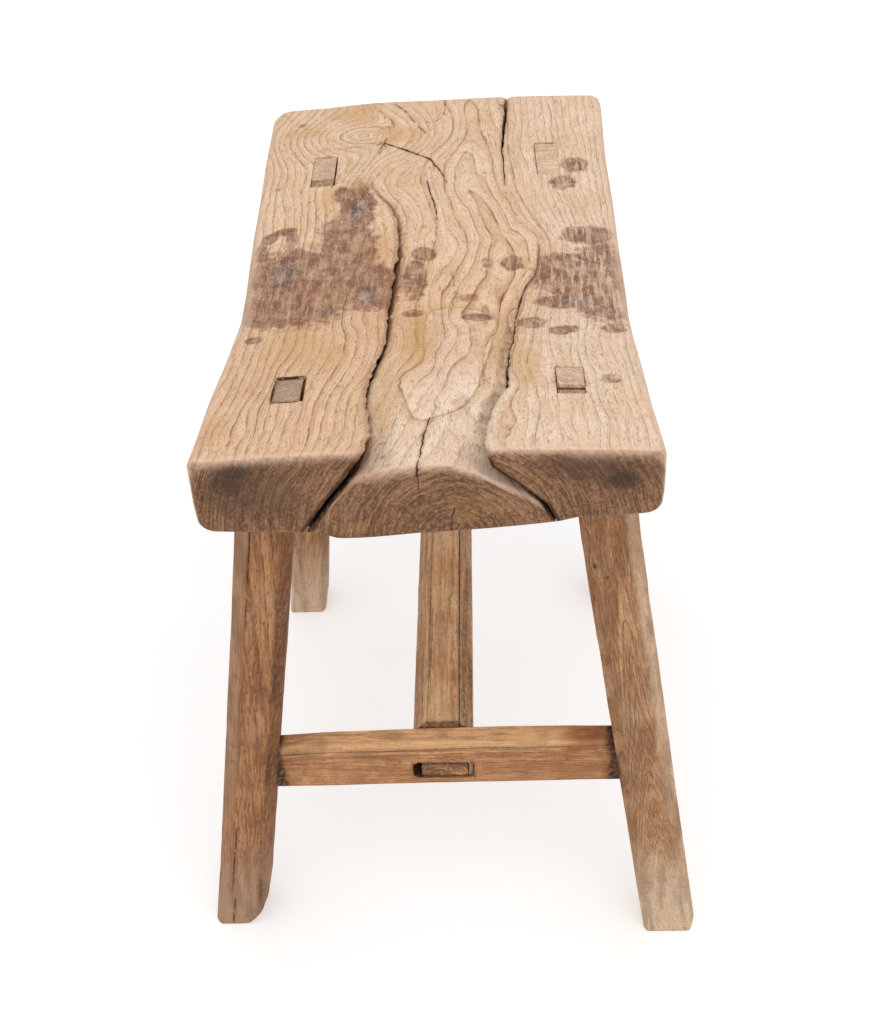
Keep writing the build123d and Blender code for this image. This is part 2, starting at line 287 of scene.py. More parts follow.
def makeMesh(name, places, faces):
    mesh = bpy.data.meshes.new(name)
    mesh.from_pydata((np.asarray(places) * mm).tolist(), [], faces)
    mesh.validate()
    return link(bpy.data.objects.new(name, mesh))


def meshVectors(piece, kind="co"):
    values = np.empty(len(piece.data.vertices) * 3)
    piece.data.vertices.foreach_get(kind, values)
    return values.reshape(-1, 3)


def meshPlaces(piece):
    return meshVectors(piece) / mm


def storeNumbers(piece, **fields):
    for name, values in fields.items():
        values = np.broadcast_to(np.asarray(values, float), np.shape(values) or len(piece.data.vertices))
        kind, key = ("FLOAT_VECTOR", "vector") if values.ndim == 2 else ("FLOAT", "value")
        piece.data.attributes.new(name, kind, "POINT").data.foreach_set(key, values.ravel())


def weld(piece, distance):
    shape = bmesh.new()
    shape.from_mesh(piece.data)
    bmesh.ops.remove_doubles(shape, verts=shape.verts, dist=distance * mm)
    bmesh.ops.dissolve_degenerate(shape, dist=distance * mm / 4, edges=shape.edges)
    bmesh.ops.recalc_face_normals(shape, faces=shape.faces)
    shape.to_mesh(piece.data)
    shape.free()
    piece.data.update()


def cutAway(piece, cutter):
    cut = piece.modifiers.new("cut", "BOOLEAN")
    cut.operation, cut.solver, cut.object = "DIFFERENCE", "EXACT", cutter
    graph = bpy.context.evaluated_depsgraph_get()
    result = bpy.data.meshes.new_from_object(piece.evaluated_get(graph))
    piece.modifiers.clear()
    piece.data = result
    bpy.data.objects.remove(cutter)


# quads between the rows of a grid of vertex numbers
def gridFaces(grid, flip=False):
    a, b = grid[:-1, :-1], grid[:-1, 1:]
    c, d = grid[1:, 1:], grid[1:, :-1]
    return np.stack([a, d, c, b] if flip else [a, b, c, d], axis=-1).reshape(-1, 4).tolist()


# closed rings of places, joined one to the next, with a flat face at each end
def ringFaces(rings):
    rows, columns = rings.shape[:2]
    grid = np.arange(rows * columns).reshape(rows, columns)
    faces = gridFaces(np.concatenate([grid, grid[:, :1]], 1))
    return rings.reshape(-1, 3), faces + [grid[0, ::-1].tolist(), grid[-1].tolist()]


def tubeMesh(rings, capShares=(0.94, 0.8, 0.6, 0.4, 0.2, 0.03)):
    first, last = ([ring.mean(0) + (ring - ring.mean(0)) * k for k in capShares] for ring in (rings[0], rings[-1]))
    return ringFaces(np.concatenate([first[::-1], rings, last]))


def joinMesh(name, parts):
    places, faces, base = [], [], 0
    for partPlaces, partFaces in parts:
        places.append(partPlaces)
        faces += [[base + i for i in face] for face in partFaces]
        base += len(partPlaces)
    piece = makeMesh(name, np.concatenate(places), faces)
    weld(piece, 0.002)
    return piece


def finishPiece(piece, node, sharpAngle=50):
    piece.data.vertices.foreach_set("co", ((meshPlaces(piece) + (shift, 0, 0)) * mm).ravel())
    piece.data.polygons.foreach_set("use_smooth", [True] * len(piece.data.polygons))
    piece.data.set_sharp_from_angle(angle=math.radians(sharpAngle))
    piece.data.update()
    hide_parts(node)
    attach(piece, "root")


seatValues = {
    "halfWidth": 130.0, "halfLength": 233.5, "thickness": 57.7, "widened": {-1: 2.4, 1: 1.6},
    "vertexHeight": 467.0, "valleyShift": 26.0, "slope": math.tan(math.radians(9)), "valleySoft": 5.0,
    "crown": 4.0, "belly": 9.0, "topArris": 5.5, "bottomArris": 8.0, "endRun": 4.5, "endInset": 4.0,
    "frontCorner": 5.0, "backCorners": {-1: 17.0, 1: 9.0},
    "heartWorn": 10.9, "lipDrop": 1.5, "heartLipDrop": 1.0, "lipReach": 2.2, "frontFade": 70, "backRise": (178, 233),
    "rows": 250, "columns": {"left": 76, "heart": 78, "right": 68}, "wallColumns": 12, "sideColumns": 14,
    "underArris": (0, 0.15, 0.6, 1.4, 2.6, 4.2, 6.2, 9.0), "underFrom": 13,
}
# The two long shakes, left and right. line is x, y and half width from the back to the front,
# depth goes along the seat, lean is how far the shake lies out of upright at a depth, fade is
# how much of the heart's wear is left along it, and low its width at the bottom as a share.
shakes = {
    -1: {
        "line": [
            (-47, 240, 0), (-48, 135, 0), (-48, 121, 0.3), (-40, 106, 0.8), (-32, 95, 1.2), (-26, 75, 1.6),
            (-24, 53, 1.8), (-24, 34, 1.9), (-26, 15, 1.9), (-27, -5, 1.9), (-29, -24, 1.8), (-28, -66, 1.5),
            (-30, -100, 1.5), (-34, -128, 1.8), (-36, -150, 1.9), (-35, -169, 1.8), (-32, -185, 2.1),
            (-29, -203, 2.5), (-30, -222, 2.8), (-34, -240, 3.0),
        ],
        "depth": [
            (-240, 70), (-229, 60), (-218, 50), (-170, 46), (-120, 35), (-60, 16), (-20, 10), (60, 8), (110, 4),
            (122, 0), (240, 0),
        ],
        "lean": [(0, 0), (18, 12), (35, 25), (58, 40)],
        "fade": [
            (-233.5, 1), (-222, 0.8), (-205, 0.55), (-180, 0.33), (-150, 0.2), (-110, 0.11), (-60, 0.06), (0, 0.02),
            (50, 0),
        ],
        "tear": 1.3, "low": 0.4, "rim": 1.5, "beside": (6, 0.85),
    },
    1: {
        "line": [
            (57, 240, 1.3), (55, 212, 1.3), (53, 187, 1.1), (51, 164, 0.8), (52, 144, 0.6), (52, 125, 0.3),
            (52, 108, 0), (62, 75, 0), (73, 50, 0), (74, 42, 0.15), (73, 24, 0.4), (70, 8, 0.5), (64, -1, 0.6),
            (60, -13, 0.7), (56, -38, 0.8), (53, -73, 0.9), (49, -102, 0.9), (47, -129, 1.0), (46, -152, 1.0),
            (39, -168, 1.2), (35, -187, 1.3), (32, -206, 1.5), (31, -223, 1.7), (33, -240, 1.9),
        ],
        "depth": [
            (-240, 70), (-229, 60), (-218, 50), (-175, 46), (-120, 38), (-20, 20), (30, 8), (46, 0), (105, 0),
            (125, 6), (185, 14), (215, 11), (232, 3), (240, 3),
        ],
        "lean": [(0, 0), (12, 4), (30, 25), (38, 34), (48, 39), (60, 43)],
        "fade": [
            (-233.5, 1), (-227, 0.78), (-218, 0.54), (-205, 0.3), (-190, 0.17), (-170, 0.1), (-110, 0.07),
            (-60, 0.05), (0, 0.02), (50, 0),
        ],
        "tear": 1, "low": 0.12, "rim": 1.3, "beside": (4.5, 0.75),
    },
}
backSplit = (60, 110)    # from here to there along the seat, the right shake turns upright
# wood worn off the heart at the front end, from its left edge to its right, and how it fades at its middle
heartWear = [
    (0, 21), (0.12, 16.4), (0.26, 12.1), (0.39, 11), (0.54, 10.9), (0.69, 17.4), (0.80, 26.1), (0.94, 34.9), (1, 38),
]
middleFade = [(-233.5, 1), (-215, 0.72), (-195, 0.42), (-175, 0.2), (-150, 0.07), (-125, 0)]
# across the plank, the front end's lower edge as it departs from the belly, and the rise of the back end
frontLower = [
    (-132, -6), (-127, -6), (-71, -2), (-63, -2.8), (-52, -6.5), (-34, -5.3), (-5, -2), (26, -0.8), (74, 1.2),
    (84, 3), (132, 0),
]
backLift = [(-130, 0), (-90, 0), (-50, 1.8), (0, 1.6), (52, 3.2), (130, 5.2)]


# middle and half width of a shake along the seat, with its bends softened
def shakeLine(side, y, step=1.0, soften=6):
    x, ys, half = zip(*sorted(shakes[side]["line"], key=lambda row: row[1]))
    far = ys[-1] + step
    fine = np.linspace(-far, far, round(2 * far / step) + 1)
    kernel = np.exp(-np.linspace(-2, 2, 2 * soften + 1) ** 2)
    kernel /= kernel.sum()

    def soft(values):
        padded = np.pad(np.interp(fine, ys, values), soften, mode="edge")
        return np.interp(y, fine, np.convolve(padded, kernel, "valid"))
    return soft(x), soft(half)


def shakeLean(side, down, y):
    lean = side * along(shakes[side]["lean"], down)
    return lean * (1 - smoothStep(*backSplit, y)) if side > 0 else lean


def seatTop(x, y):
    s = seatValues
    line = s["vertexHeight"] + s["slope"] * np.sqrt((y + s["valleyShift"]) ** 2 + s["valleySoft"] ** 2)
    return line - s["crown"] * (x / s["halfWidth"]) ** 2 + along(backLift, x) * smoothStep(*s["backRise"], y)


# plank's outline on one side, with its rounded corners in plan
def outlineX(side, y):
    s = seatValues
    edge = s["halfWidth"]
    for radius, gap in ((s["frontCorner"], y + s["halfLength"]), (s["backCorners"][side], s["halfLength"] - y)):
        edge = edge - roundedOff(gap, radius)
    wave = 0.7 * np.sin(y / 41 + side) + 0.5 * np.sin(y / 17 + 2 * side)
    return side * (edge + s["widened"][side] + 0.5 * wave)


# underside of the plank with its lower arrises rounded off
def seatUnder(x, y, inset=0):
    s = seatValues
    line = seatTop(0 * x, y) - s["thickness"] + s["belly"] * (x / s["halfWidth"]) ** 2
    z = line + np.exp(-(y + s["halfLength"]) / s["frontFade"]) * along(frontLower, x) + inset
    for side in (-1, 1):
        z = z + roundedOff(side * (outlineX(side, y) - x) - inset, s["bottomArris"])
    return z


# places of the rows along the seat, and how far the section draws in at its two ends
def seatRows(endRows=6):
    s = seatValues
    turn = np.linspace(0, math.pi / 2, endRows)[:-1]
    ends = s["endRun"] * (1 - np.sin(turn))
    rim = s["endInset"] * (1 - np.cos(turn))
    inner = np.linspace(5 - s["halfLength"], s["halfLength"] - 5, s["rows"])
    y = np.concatenate([ends[::-1] - s["halfLength"], inner, s["halfLength"] - ends])
    return y, np.concatenate([rim[::-1], 0 * inner, rim])


# middle and half width of both shakes, torn a little along their length
def shakeEdges(y):
    jag = 0.5 * lineNoise(y, 5, 3) + 0.25 * lineNoise(y, 2.2, 4)
    ragged = 1 + 0.45 * lineNoise(y, 6, 5) + 0.2 * lineNoise(y, 2.5, 6)
    edges = {}
    for side in (-1, 1):
        centre, half = shakeLine(side, y)
        centre = centre + shakes[side]["tear"] * jag[::-side] * np.minimum(half, 1)
        edges[side] = centre, np.maximum(half * ragged[::-side], 0.001)
    return edges


# rows of places from one edge of a block to the other
def blockLine(x0, x1, count):
    return x0[:, None] + (x1 - x0)[:, None] * np.linspace(0, 1, count + 1)


# one end of the plank: a patch spanned from its top, left, low and right edges, with marks of the saw
def endPatch(y, top, left, low, right, inward, rows):
    def pick(edge, count):
        shares = np.linspace(0, 1, count), np.linspace(0, 1, len(edge))
        return np.stack([np.interp(*shares, column) for column in edge.T], -1)
    u, v = np.linspace(0, 1, len(top))[None, :, None], np.linspace(0, 1, rows)[:, None, None]
    a, b, c = pick(left, rows), pick(right, rows), pick(low, len(top))
    corners = (1 - u) * (1 - v) * a[0] + u * (1 - v) * b[0] + (1 - u) * v * a[-1] + u * v * b[-1]
    patch = (1 - v) * top[None] + v * c[None] + (1 - u) * a[:, None] + u * b[:, None] - corners
    x, z = patch[..., 0], patch[..., 1]
    flat = np.stack([x, 0 * x + y * 3, z], -1).reshape(-1, 3)
    wave = (0.5 * valueNoise(flat, 24, 11) + 0.25 * valueNoise(flat, 7, 12)).reshape(x.shape)
    return np.stack([x, y + inward * (0.25 + wave) * np.sin(math.pi * v[..., 0]).clip(0) ** 0.5, z], -1)


def makeSeatMesh():
    s = seatValues
    y, inset = seatRows()
    yy, rim = y[:, None], inset[:, None]
    edges = shakeEdges(y)
    (cl, hl), (cr, hr) = edges[-1], edges[1]
    fades = [along(shakes[side]["fade"], y)[:, None] for side in (-1, 1)]

    def wear(u):
        beyond = (along(heartWear, u) - s["heartWorn"]) * np.where(u < 0.45, *fades)
        return s["heartWorn"] * along(middleFade, y)[:, None] + beyond

    outer = {side: outlineX(side, y) - side * inset for side in (-1, 1)}
    drops = {side: wear(np.full((1, 1), (side + 1) / 2))[:, 0] for side in (-1, 1)}
    heartEdges = cl + hl + shakeLean(-1, drops[-1], y), cr - hr + shakeLean(1, drops[1], y)
    leftX = blockLine(outer[-1], cl - hl, s["columns"]["left"])
    heartX = blockLine(*heartEdges, s["columns"]["heart"])
    rightX = blockLine(cr + hr, outer[1], s["columns"]["right"])

    # each lip of a shake is rounded where the shake is open
    def topOf(x, lips, drop=0):
        z = seatTop(x, yy) - drop - rim
        for lip, side, size in lips:
            z = z - size * np.minimum(edges[side][1], 1)[:, None] * bell(x - lip[:, None], s["lipReach"])
        for side in (-1, 1):
            z = z - 0.8 * roundedOff(side * (outer[side][:, None] - x), s["topArris"])
        return z

    heartLips = [(heartX[:, 0], -1, s["heartLipDrop"]), (heartX[:, -1], 1, s["heartLipDrop"])]
    left = leftX, topOf(leftX, [(cl - hl, -1, s["lipDrop"])])
    heart = heartX, topOf(heartX, heartLips, wear(np.linspace(0, 1, heartX.shape[1])))
    right = rightX, topOf(rightX, [(cr + hr, 1, s["lipDrop"])])

    # where each shake comes out below, or would
    lowX, through, depth = {}, {}, {}
    for side, (centre, half) in edges.items():
        lowX[side] = centre + shakeLean(side, s["thickness"], y)
        for _ in range(3):
            down = seatTop(centre, y) - seatUnder(lowX[side], y, inset)
            lowX[side] = centre + shakeLean(side, down, y)
        depth[side] = along(shakes[side]["depth"], y)
        through[side] = depth[side] > s["thickness"] - 1

    # wall of a shake on its left or right, down from the edge of the block beside it
    def wall(side, way, block, column):
        lipX, lipZ = block[0][:, column], block[1][:, column]
        (centre, half), low = edges[side], shakes[side]["low"]
        t = np.linspace(0, 1, s["wallColumns"] + 1)[None, :]
        flank = seatTop(centre, y)
        out = lowX[side] + way * half * low
        endZ = np.where(through[side], seatUnder(out, y, inset), np.minimum(flank - depth[side], lipZ - 0.001))
        z = lipZ[:, None] + (endZ - lipZ)[:, None] * t
        narrow = 1 - (1 - low) * t ** 1.5
        x = centre[:, None] + shakeLean(side, np.maximum(flank[:, None] - z, 0), yy) + way * half[:, None] * narrow
        x = x + (lipX - x[:, 0])[:, None] * (1 - t)
        x[through[side], -1] = out[through[side]]
        return x, z

    # underside, a third as many columns, closer at the arris
    arris = np.array(s["underArris"])[None, :]
    gaps = {side: edges[side][1] * shakes[side]["low"] for side in (-1, 1)}
    third = {name: count // 3 for name, count in s["columns"].items()}
    lowLeft = blockLine(outer[-1] + s["underFrom"], lowX[-1] - gaps[-1], third["left"])
    lowHeart = blockLine(lowX[-1] + gaps[-1], lowX[1] - gaps[1], third["heart"])
    lowRight = blockLine(lowX[1] + gaps[1], outer[1] - s["underFrom"], third["right"])
    lowLeft = np.concatenate([outer[-1][:, None] + arris, lowLeft], 1)
    lowRight = np.concatenate([lowRight, outer[1][:, None] - arris[:, ::-1]], 1)
    under = [(x, seatUnder(x, yy, rim)) for x in (lowLeft, lowHeart, lowRight)]

    def flankWall(side, block, low, column):
        t = np.linspace(0, 1, s["sideColumns"] + 1)[None, :]
        (topX, topZ), (endX, endZ) = ([part[:, column] for part in grid] for grid in (block, low))
        x, z = (a[:, None] + (b - a)[:, None] * t for a, b in ((topX, endX), (topZ, endZ)))
        bulge = 0.7 * np.sin(math.pi * t) + 0.4 * np.sin(yy / 23 + 5 * t)
        x = x + side * bulge * np.sin(math.pi * t)
        x[:, 0], x[:, -1] = topX, endX
        return x, z

    blocks = {
        "left": left, "heart": heart, "right": right,
        "w1": wall(-1, -1, left, -1), "w2": wall(-1, 1, heart, 0), "w3": wall(1, -1, heart, -1),
        "w4": wall(1, 1, right, 0),
        "lowLeft": under[0], "lowHeart": under[1], "lowRight": under[2],
        "sideL": flankWall(-1, left, under[0], 0), "sideR": flankWall(1, right, under[2], -1),
    }
    grids, places, faces, count = {}, [], [], 0
    for name, (x, z) in blocks.items():
        grids[name] = count + np.arange(x.size).reshape(x.shape)
        places.append(np.stack([x, np.broadcast_to(yy, x.shape), z], -1).reshape(-1, 3))
        faces += gridFaces(grids[name])
        count += x.size

    # floors of the shakes, and the underside where they don't come through
    for one, other, column, side in (
        ("w1", "w2", -1, -1), ("w3", "w4", -1, 1), ("lowLeft", "lowHeart", 0, -1), ("lowHeart", "lowRight", 0, 1),
    ):
        rows = ~through[side] | np.roll(~through[side], 1)
        a, b = grids[one][:, -1].tolist(), grids[other][:, column].tolist()
        faces += [[a[i], b[i], b[i + 1], a[i + 1]] for i in np.flatnonzero(rows[:-1] & rows[1:])]

    # the two ends, each of three patches
    allPlaces = np.concatenate(places)
    patches = [allPlaces]
    for row, inward in ((0, 1), (-1, -1)):
        for names in (
            ("left", "sideL", "lowLeft", "w1"), ("heart", "w2", "lowHeart", "w3"), ("right", "w4", "lowRight", "sideR"),
        ):
            sides = [allPlaces[grids[name][row]][:, [0, 2]] for name in names]
            patch = endPatch(y[row], *sides, inward, s["sideColumns"] * 2 + 1)
            grid = count + np.arange(patch[..., 0].size).reshape(patch.shape[:2])
            faces += gridFaces(grid, flip=inward > 0)
            patches.append(patch.reshape(-1, 3))
            count += grid.size
    piece = makeMesh("seat_plank", np.concatenate(patches), faces)
    weld(piece, 0.02)
    return piece


# ring figure of the plank: distance from the pith, length along it and turn round it, in mm,
# with the plank drawn over sideways so that the shakes keep to one ring
seatFigureValues = {
    "heartHalf": 33.5, "heartMiddle": -0.5, "pithX": 15, "pithDown": 64, "away": 0.85,
    "knot": (-57, 187), "knotSize": 37, "knotSkew": (9, 14), "knotRing": 95,
}


def seatFigure(p):
    v = seatFigureValues
    x, y, z = p.T
    (a, _), (b, _) = shakeLine(-1, y), shakeLine(1, y)
    wide = seatValues["halfWidth"]
    low, high = v["heartMiddle"] - v["heartHalf"], v["heartMiddle"] + v["heartHalf"]
    inHeart, onRight = low + (x - a) / (b - a) * (high - low), high + (x - b) / (wide - b) * (wide - high)
    flat = np.where(x < a, (x + wide) / (a + wide) * (low + wide) - wide, np.where(x < b, inHeart, onRight))
    soft = p * (1, 0.45, 1)
    flat = flat + 2.2 * valueNoise(soft, 30, 21) + 1.0 * valueNoise(soft, 10, 22) - v["pithX"]
    dip = seatTop(0 * x, 0 * x - seatValues["halfLength"]) - seatTop(0 * x, y)
    down = v["pithDown"] - 0.35 * dip - np.clip(seatTop(x, y) - z, 0, 80)
    down = down + 2.6 * valueNoise(soft * (1, 0.8, 1), 55, 23) + 1.4 * valueNoise(soft, 17, 24)
    # away from the front end the heart's rings come up more steeply and waver
    steep = v["away"] * np.sqrt(flat ** 2 + 9) * np.exp(-np.abs(flat) / 50)
    ring = np.hypot(flat, down) + smoothStep(-233, -70, y) * steep
    ring = ring + smoothStep(-233, -190, y) * 2.2 * valueNoise(soft * (1, 0.7, 1), 13, 25)
    # swirl round the knot at the back left
    kx, ky = x - v["knot"][0], y - v["knot"][1]
    reach = np.hypot(kx / 1.7, ky)
    weight = bell(reach, v["knotSize"] - v["knotSkew"][0] * np.tanh(kx / v["knotSkew"][1]))
    ring = ring * (1 - weight) + (v["knotRing"] + reach * 1.15) * weight
    return np.stack([ring, y, np.arctan2(flat, down) * 60], 1)


# each hole's x and y from and to at the seat's top, and how far it runs out in both for each mm down
mortiseHoles = [
    (-94.0, -74.6, -164.2, -128.8, -0.17, -0.08), (76.3, 93.7, -162.6, -124.2, 0.17, -0.09),
    (-94.2, -75.6, 122.2, 160.4, -0.14, 0.12), (76.4, 93.6, 128.4, 170.4, 0.15, 0.12),
]


def cutMortises(piece, low=380, top=540):
    box = ((3, 2, 1, 0), (4, 5, 6, 7), (0, 1, 5, 4), (1, 2, 6, 5), (2, 3, 7, 6), (3, 0, 4, 7))
    places, faces = [], []
    for x0, x1, y0, y1, dx, dy in mortiseHoles:
        faces += [[len(places) + i for i in face] for face in box]
        for z in (low, top):
            down = seatTop(x0, (y0 + y1) / 2) - z
            places += [(x + dx * down, y + dy * down, z) for x, y in ((x0, y0), (x1, y0), (x1, y1), (x0, y1))]
    cutAway(piece, makeMesh("mortises", places, faces))


# All in mm, from the leg's own middle. tenonFoot is where the tenon's line meets the floor, worn is
# the side, width and height of the foot's worn corner, cuts are the four cut-off arrises, pith is its
# x, its depth and how fast it deepens upwards. knots are x, z and size. cracks are a half width and a
# line in x and z. dents are x, z, size and depth, and with a size below 0 they are in the right side.
legValues = {
    "leg_front_left": {
        "foot": (-172.5, -171.28), "head": (-93.8, -146.45), "headHeight": 486.08, "footWidth": 42.0,
        "headWidth": 37.6,
        "depth": 37.2, "mortise": 35.2, "tenonFoot": -164.65, "tenonFront": 4.58, "tenonSink": 1.4,
        "worn": (1, 20, 40), "cuts": (11, 7.5, 8, 8), "topTone": 0.5, "rubbed": (0.65, 0.0), "arrisShade": (0.0, 0.75),
        "pith": (-34, 62, 0.05), "knots": [], "seed": 31,
        "cracks": [
            (0.28, (-7.5, 116), (-8.0, 80), (-8.6, 36)), (0.3, (-6.0, 34), (-6.3, 14), (-6.6, -6)),
            (0.28, (-8.5, 424), (-8.2, 380), (-8.6, 300)),
        ],
        "dents": [
            (-14, 262, 4.0, 1.3), (-13, 196, 4.5, 1.5), (-5, 195, 4.5, 1.1), (-12, 182, 3.5, 1.0), (7, 120, 6, 0.7),
        ],
    },
    "leg_front_right": {
        "foot": (169.4, -182.0), "head": (95.0, -143.26), "headHeight": 485.57, "footWidth": 41.4, "headWidth": 38.0,
        "depth": 40.0, "mortise": 38.0, "tenonFoot": 161.47, "tenonFront": 13.3, "tenonSink": 0.2,
        "worn": (1, 7.5, 18), "cuts": (6.5, 9, 8, 8), "topTone": 0.96, "rubbed": (0.0, 0.5), "arrisShade": (0.15, 0.0),
        "pith": (2.5, 2.5, 0.12), "knots": [(-13, 360, 5.0), (-6, 351, 4.0)], "seed": 47,
        "cracks": [(0.15, (2, 330), (5.5, 280), (6.5, 250), (7.5, 226)), (0.2, (2, 5), (3, -4))],
        "dents": [(-16, 152, 4, 1.2), (19, 352, -11, 1.5)],
    },
    "leg_back_left": {
        "foot": (-150.81, 194.72), "head": (-92.5, 141.38), "headHeight": 493.51, "footWidth": 36.6,
        "headWidth": 35.0,
        "depth": 38.8, "mortise": 36.8, "tenonFoot": -143.31, "tenonFront": 9.2, "tenonSink": 0.5,
        "worn": (1, 5.8, 7.7), "cuts": (4, 5, 7, 7), "topTone": 0.85, "rubbed": (0.1, 0.0), "arrisShade": (0.0, 0.3),
        "pith": (30, 50, 0.04), "knots": [], "seed": 59,
        "cracks": [(0.25, (6, 240), (7, 180), (6, 120))], "dents": [(-8, 90, 5, 0.8)],
    },
    "leg_back_right": {
        "foot": (160.88, 194.94), "head": (92.5, 149.35), "headHeight": 494.78, "footWidth": 37.3, "headWidth": 35.0,
        "depth": 42.4, "mortise": 40.4, "tenonFoot": 153.38, "tenonFront": 0.0, "tenonSink": 0.2,
        "worn": (-1, 4.6, 5.8), "cuts": (7, 7, 8, 8), "topTone": 1.0, "rubbed": (0.2, 0.2), "arrisShade": (0.1, 0.1),
        "pith": (-20, 66, 0.03), "knots": [(6, 300, 5)], "seed": 71,
        "cracks": [(0.3, (-4, 210), (-5, 150), (-4, 96))], "dents": [(9, 140, 5, 0.9)],
    },
}
# strips in front of a tenon: leg, from and to behind the mortise's front, and sink
stripValues = {
    "shim_front_left": ("leg_front_left", 0.2, 4.4, 0.7),
    "shim_front_right": ("leg_front_right", 0.2, 7.0, 0.5),
    "wedge_front_right": ("leg_front_right", 7.3, 13.0, 2.3),
    "shim_back_left": ("leg_back_left", 0.2, 4.6, 0.5),
    "wedge_back_left": ("leg_back_left", 5.0, 9.0, 0.9),
}
railValues = {
    "height": 171, "tilts": {"front": 4, "back": 0}, "depth": 41, "thickness": 19, "cut": 3,
    "longLeft": -25.2, "longRight": 19.0, "longLow": 154.5, "longHigh": 198.5, "longCut": 10,
    "frontLift": [(-118, 0.4), (-80, 2.4), (-35, 3.8), (0, 4.1), (35, 3.6), (80, 3.0), (118, 2.1)],
    "frontDrop": 1.6, "tenonLow": 158.5, "tenonHigh": 174.5, "recess": 3.0, "hollow": 6.0, "sliver": 4.6,
    "rust": [(103, 0, 19, 13), (122, -6, 11, 9)],
}


def legCentre(name, z):
    v = legValues[name]
    return [foot + (head - foot) * (z / v["headHeight"]) for foot, head in zip(v["foot"], v["head"])]


# middle of the mortise across, and its front, at a height
def mortisePlace(name, z, topX=85):
    v = legValues[name]
    x = math.copysign(topX, v["head"][0])
    lean = (v["tenonFoot"] - x) / v["headHeight"]
    return x + lean * (v["headHeight"] - z), legCentre(name, z)[1] - v["mortise"] / 2


def legWidth(v, z):
    return v["footWidth"] + (v["headWidth"] - v["footWidth"]) * z / v["headHeight"]


# closed loop of a rectangle with its corners cut off, one row per width
def sectionLoop(width, depth, cuts, faceSteps=9):
    w, d, *cuts = np.broadcast_arrays(np.asarray(width) / 2, np.asarray(depth) / 2, *cuts)
    faceShares = np.concatenate([[0, 0.03], np.linspace(0.08, 0.92, faceSteps), [0.97, 1]])
    corners, ways = [(-1, -1), (1, -1), (1, 1), (-1, 1)], [(1, 0), (0, 1), (-1, 0), (0, -1)]
    xs, ys = [], []
    for k, ((ax, ay), (ux, uy)) in enumerate(zip(corners, ways)):
        ahead = (k + 1) % 4
        (bx, by), (vx, vy), cut = corners[ahead], ways[ahead], cuts[ahead]
        x0, y0 = ax * w + ux * cuts[k], ay * d + uy * cuts[k]
        x1, y1 = bx * w - ux * cut, by * d - uy * cut
        xs += [x0 + (x1 - x0) * t for t in faceShares] + [x1 + (ux + vx) * cut * t for t in (0.1, 0.35, 0.65, 0.9)]
        ys += [y0 + (y1 - y0) * t for t in faceShares] + [y1 + (uy + vy) * cut * t for t in (0.1, 0.35, 0.65, 0.9)]
    return np.stack(xs, 1), np.stack(ys, 1)


# a section moved out and in by noise all round: how far along it is s, and the noise is drawn out that way
def swollen(a, b, s, stretch, scale, size, small, seeds, inward):
    local = np.stack([a, b, s * stretch], -1).reshape(-1, 3)
    swell = (size * valueNoise(local, scale, seeds[0]) + small * valueNoise(local, 4, seeds[1])).reshape(a.shape)
    reach = np.hypot(a, b)
    return a + a / reach * (swell - inward), b + b / reach * (swell - inward)


# upright block through the seat along a leg's line, its top laid on the seat's own top
def headBlock(name, half, front, back, low, sink, seed, dome, steps=(12, 22), rows=14):
    u, v = (np.linspace(0, 1, count + 1) for count in steps)
    a = np.concatenate([0 * u, v[1:], 0 * u[1:] + 1, v[::-1][1:-1]])
    b = np.concatenate([u, 0 * v[1:] + 1, u[::-1][1:], 0 * v[2:]])

    def place(z, shrink):
        x, y = mortisePlace(name, z)
        return x - half + shrink + 2 * (half - shrink) * b, y + front + shrink + (back - front - 2 * shrink) * a

    top = seatTop(*place(480, 0)) - sink - 0.6
    rings = [(*place(z, 0), z) for z in low + (top - low) * np.linspace(0, 1, rows)[:, None]]
    for shrink, rise in ((0.25, 0.35), (0.8, 0.6), (2.0, 0.75), (3.6, 0.8), (5.6, 0.85), (7.0, 0.9)):
        x, y = place(484, min(shrink, half - 0.3, (back - front) / 2 - 0.3))
        rings.append((x, y, seatTop(x, y) - sink - 0.6 + rise * dome * 1.8))
    rings = np.array(rings).transpose(0, 2, 1)
    bump = valueNoise(rings.reshape(-1, 3), 4, seed).reshape(rings.shape[:2])
    rings[rows:, :, 2] += 0.25 * bump[rows:]
    return ringFaces(rings)


# ring distance, height and turn round the pith, for places from the leg's middle
def legFigure(v, a, b, z):
    soft = np.stack([a, b, z * 0.3], 1)
    px, py, rise = v["pith"]
    inside = rise > 0.1    # the pith runs in the leg itself
    sway = 1.6 * valueNoise(soft, 16, v["seed"]) + 3 * valueNoise(soft * (0, 0, 1), 20, v["seed"] + 1)
    flat = a + (0.35 if inside else 1) * sway - px
    high = b - (py + rise * np.minimum(z, 220) + 0.05 * np.maximum(z - 220, 0) - v["depth"] / 2)
    ring = np.hypot(flat, high) + 0.3 * inside * np.abs(flat)
    for kx, kz, size in v["knots"]:
        ring = ring + 3.2 * bell(np.hypot((a - kx) * 1.3, (z - kz) * 0.5), size) * (b < 0)
    return np.stack([ring, z, np.arctan2(flat, -high) * 40], 1)


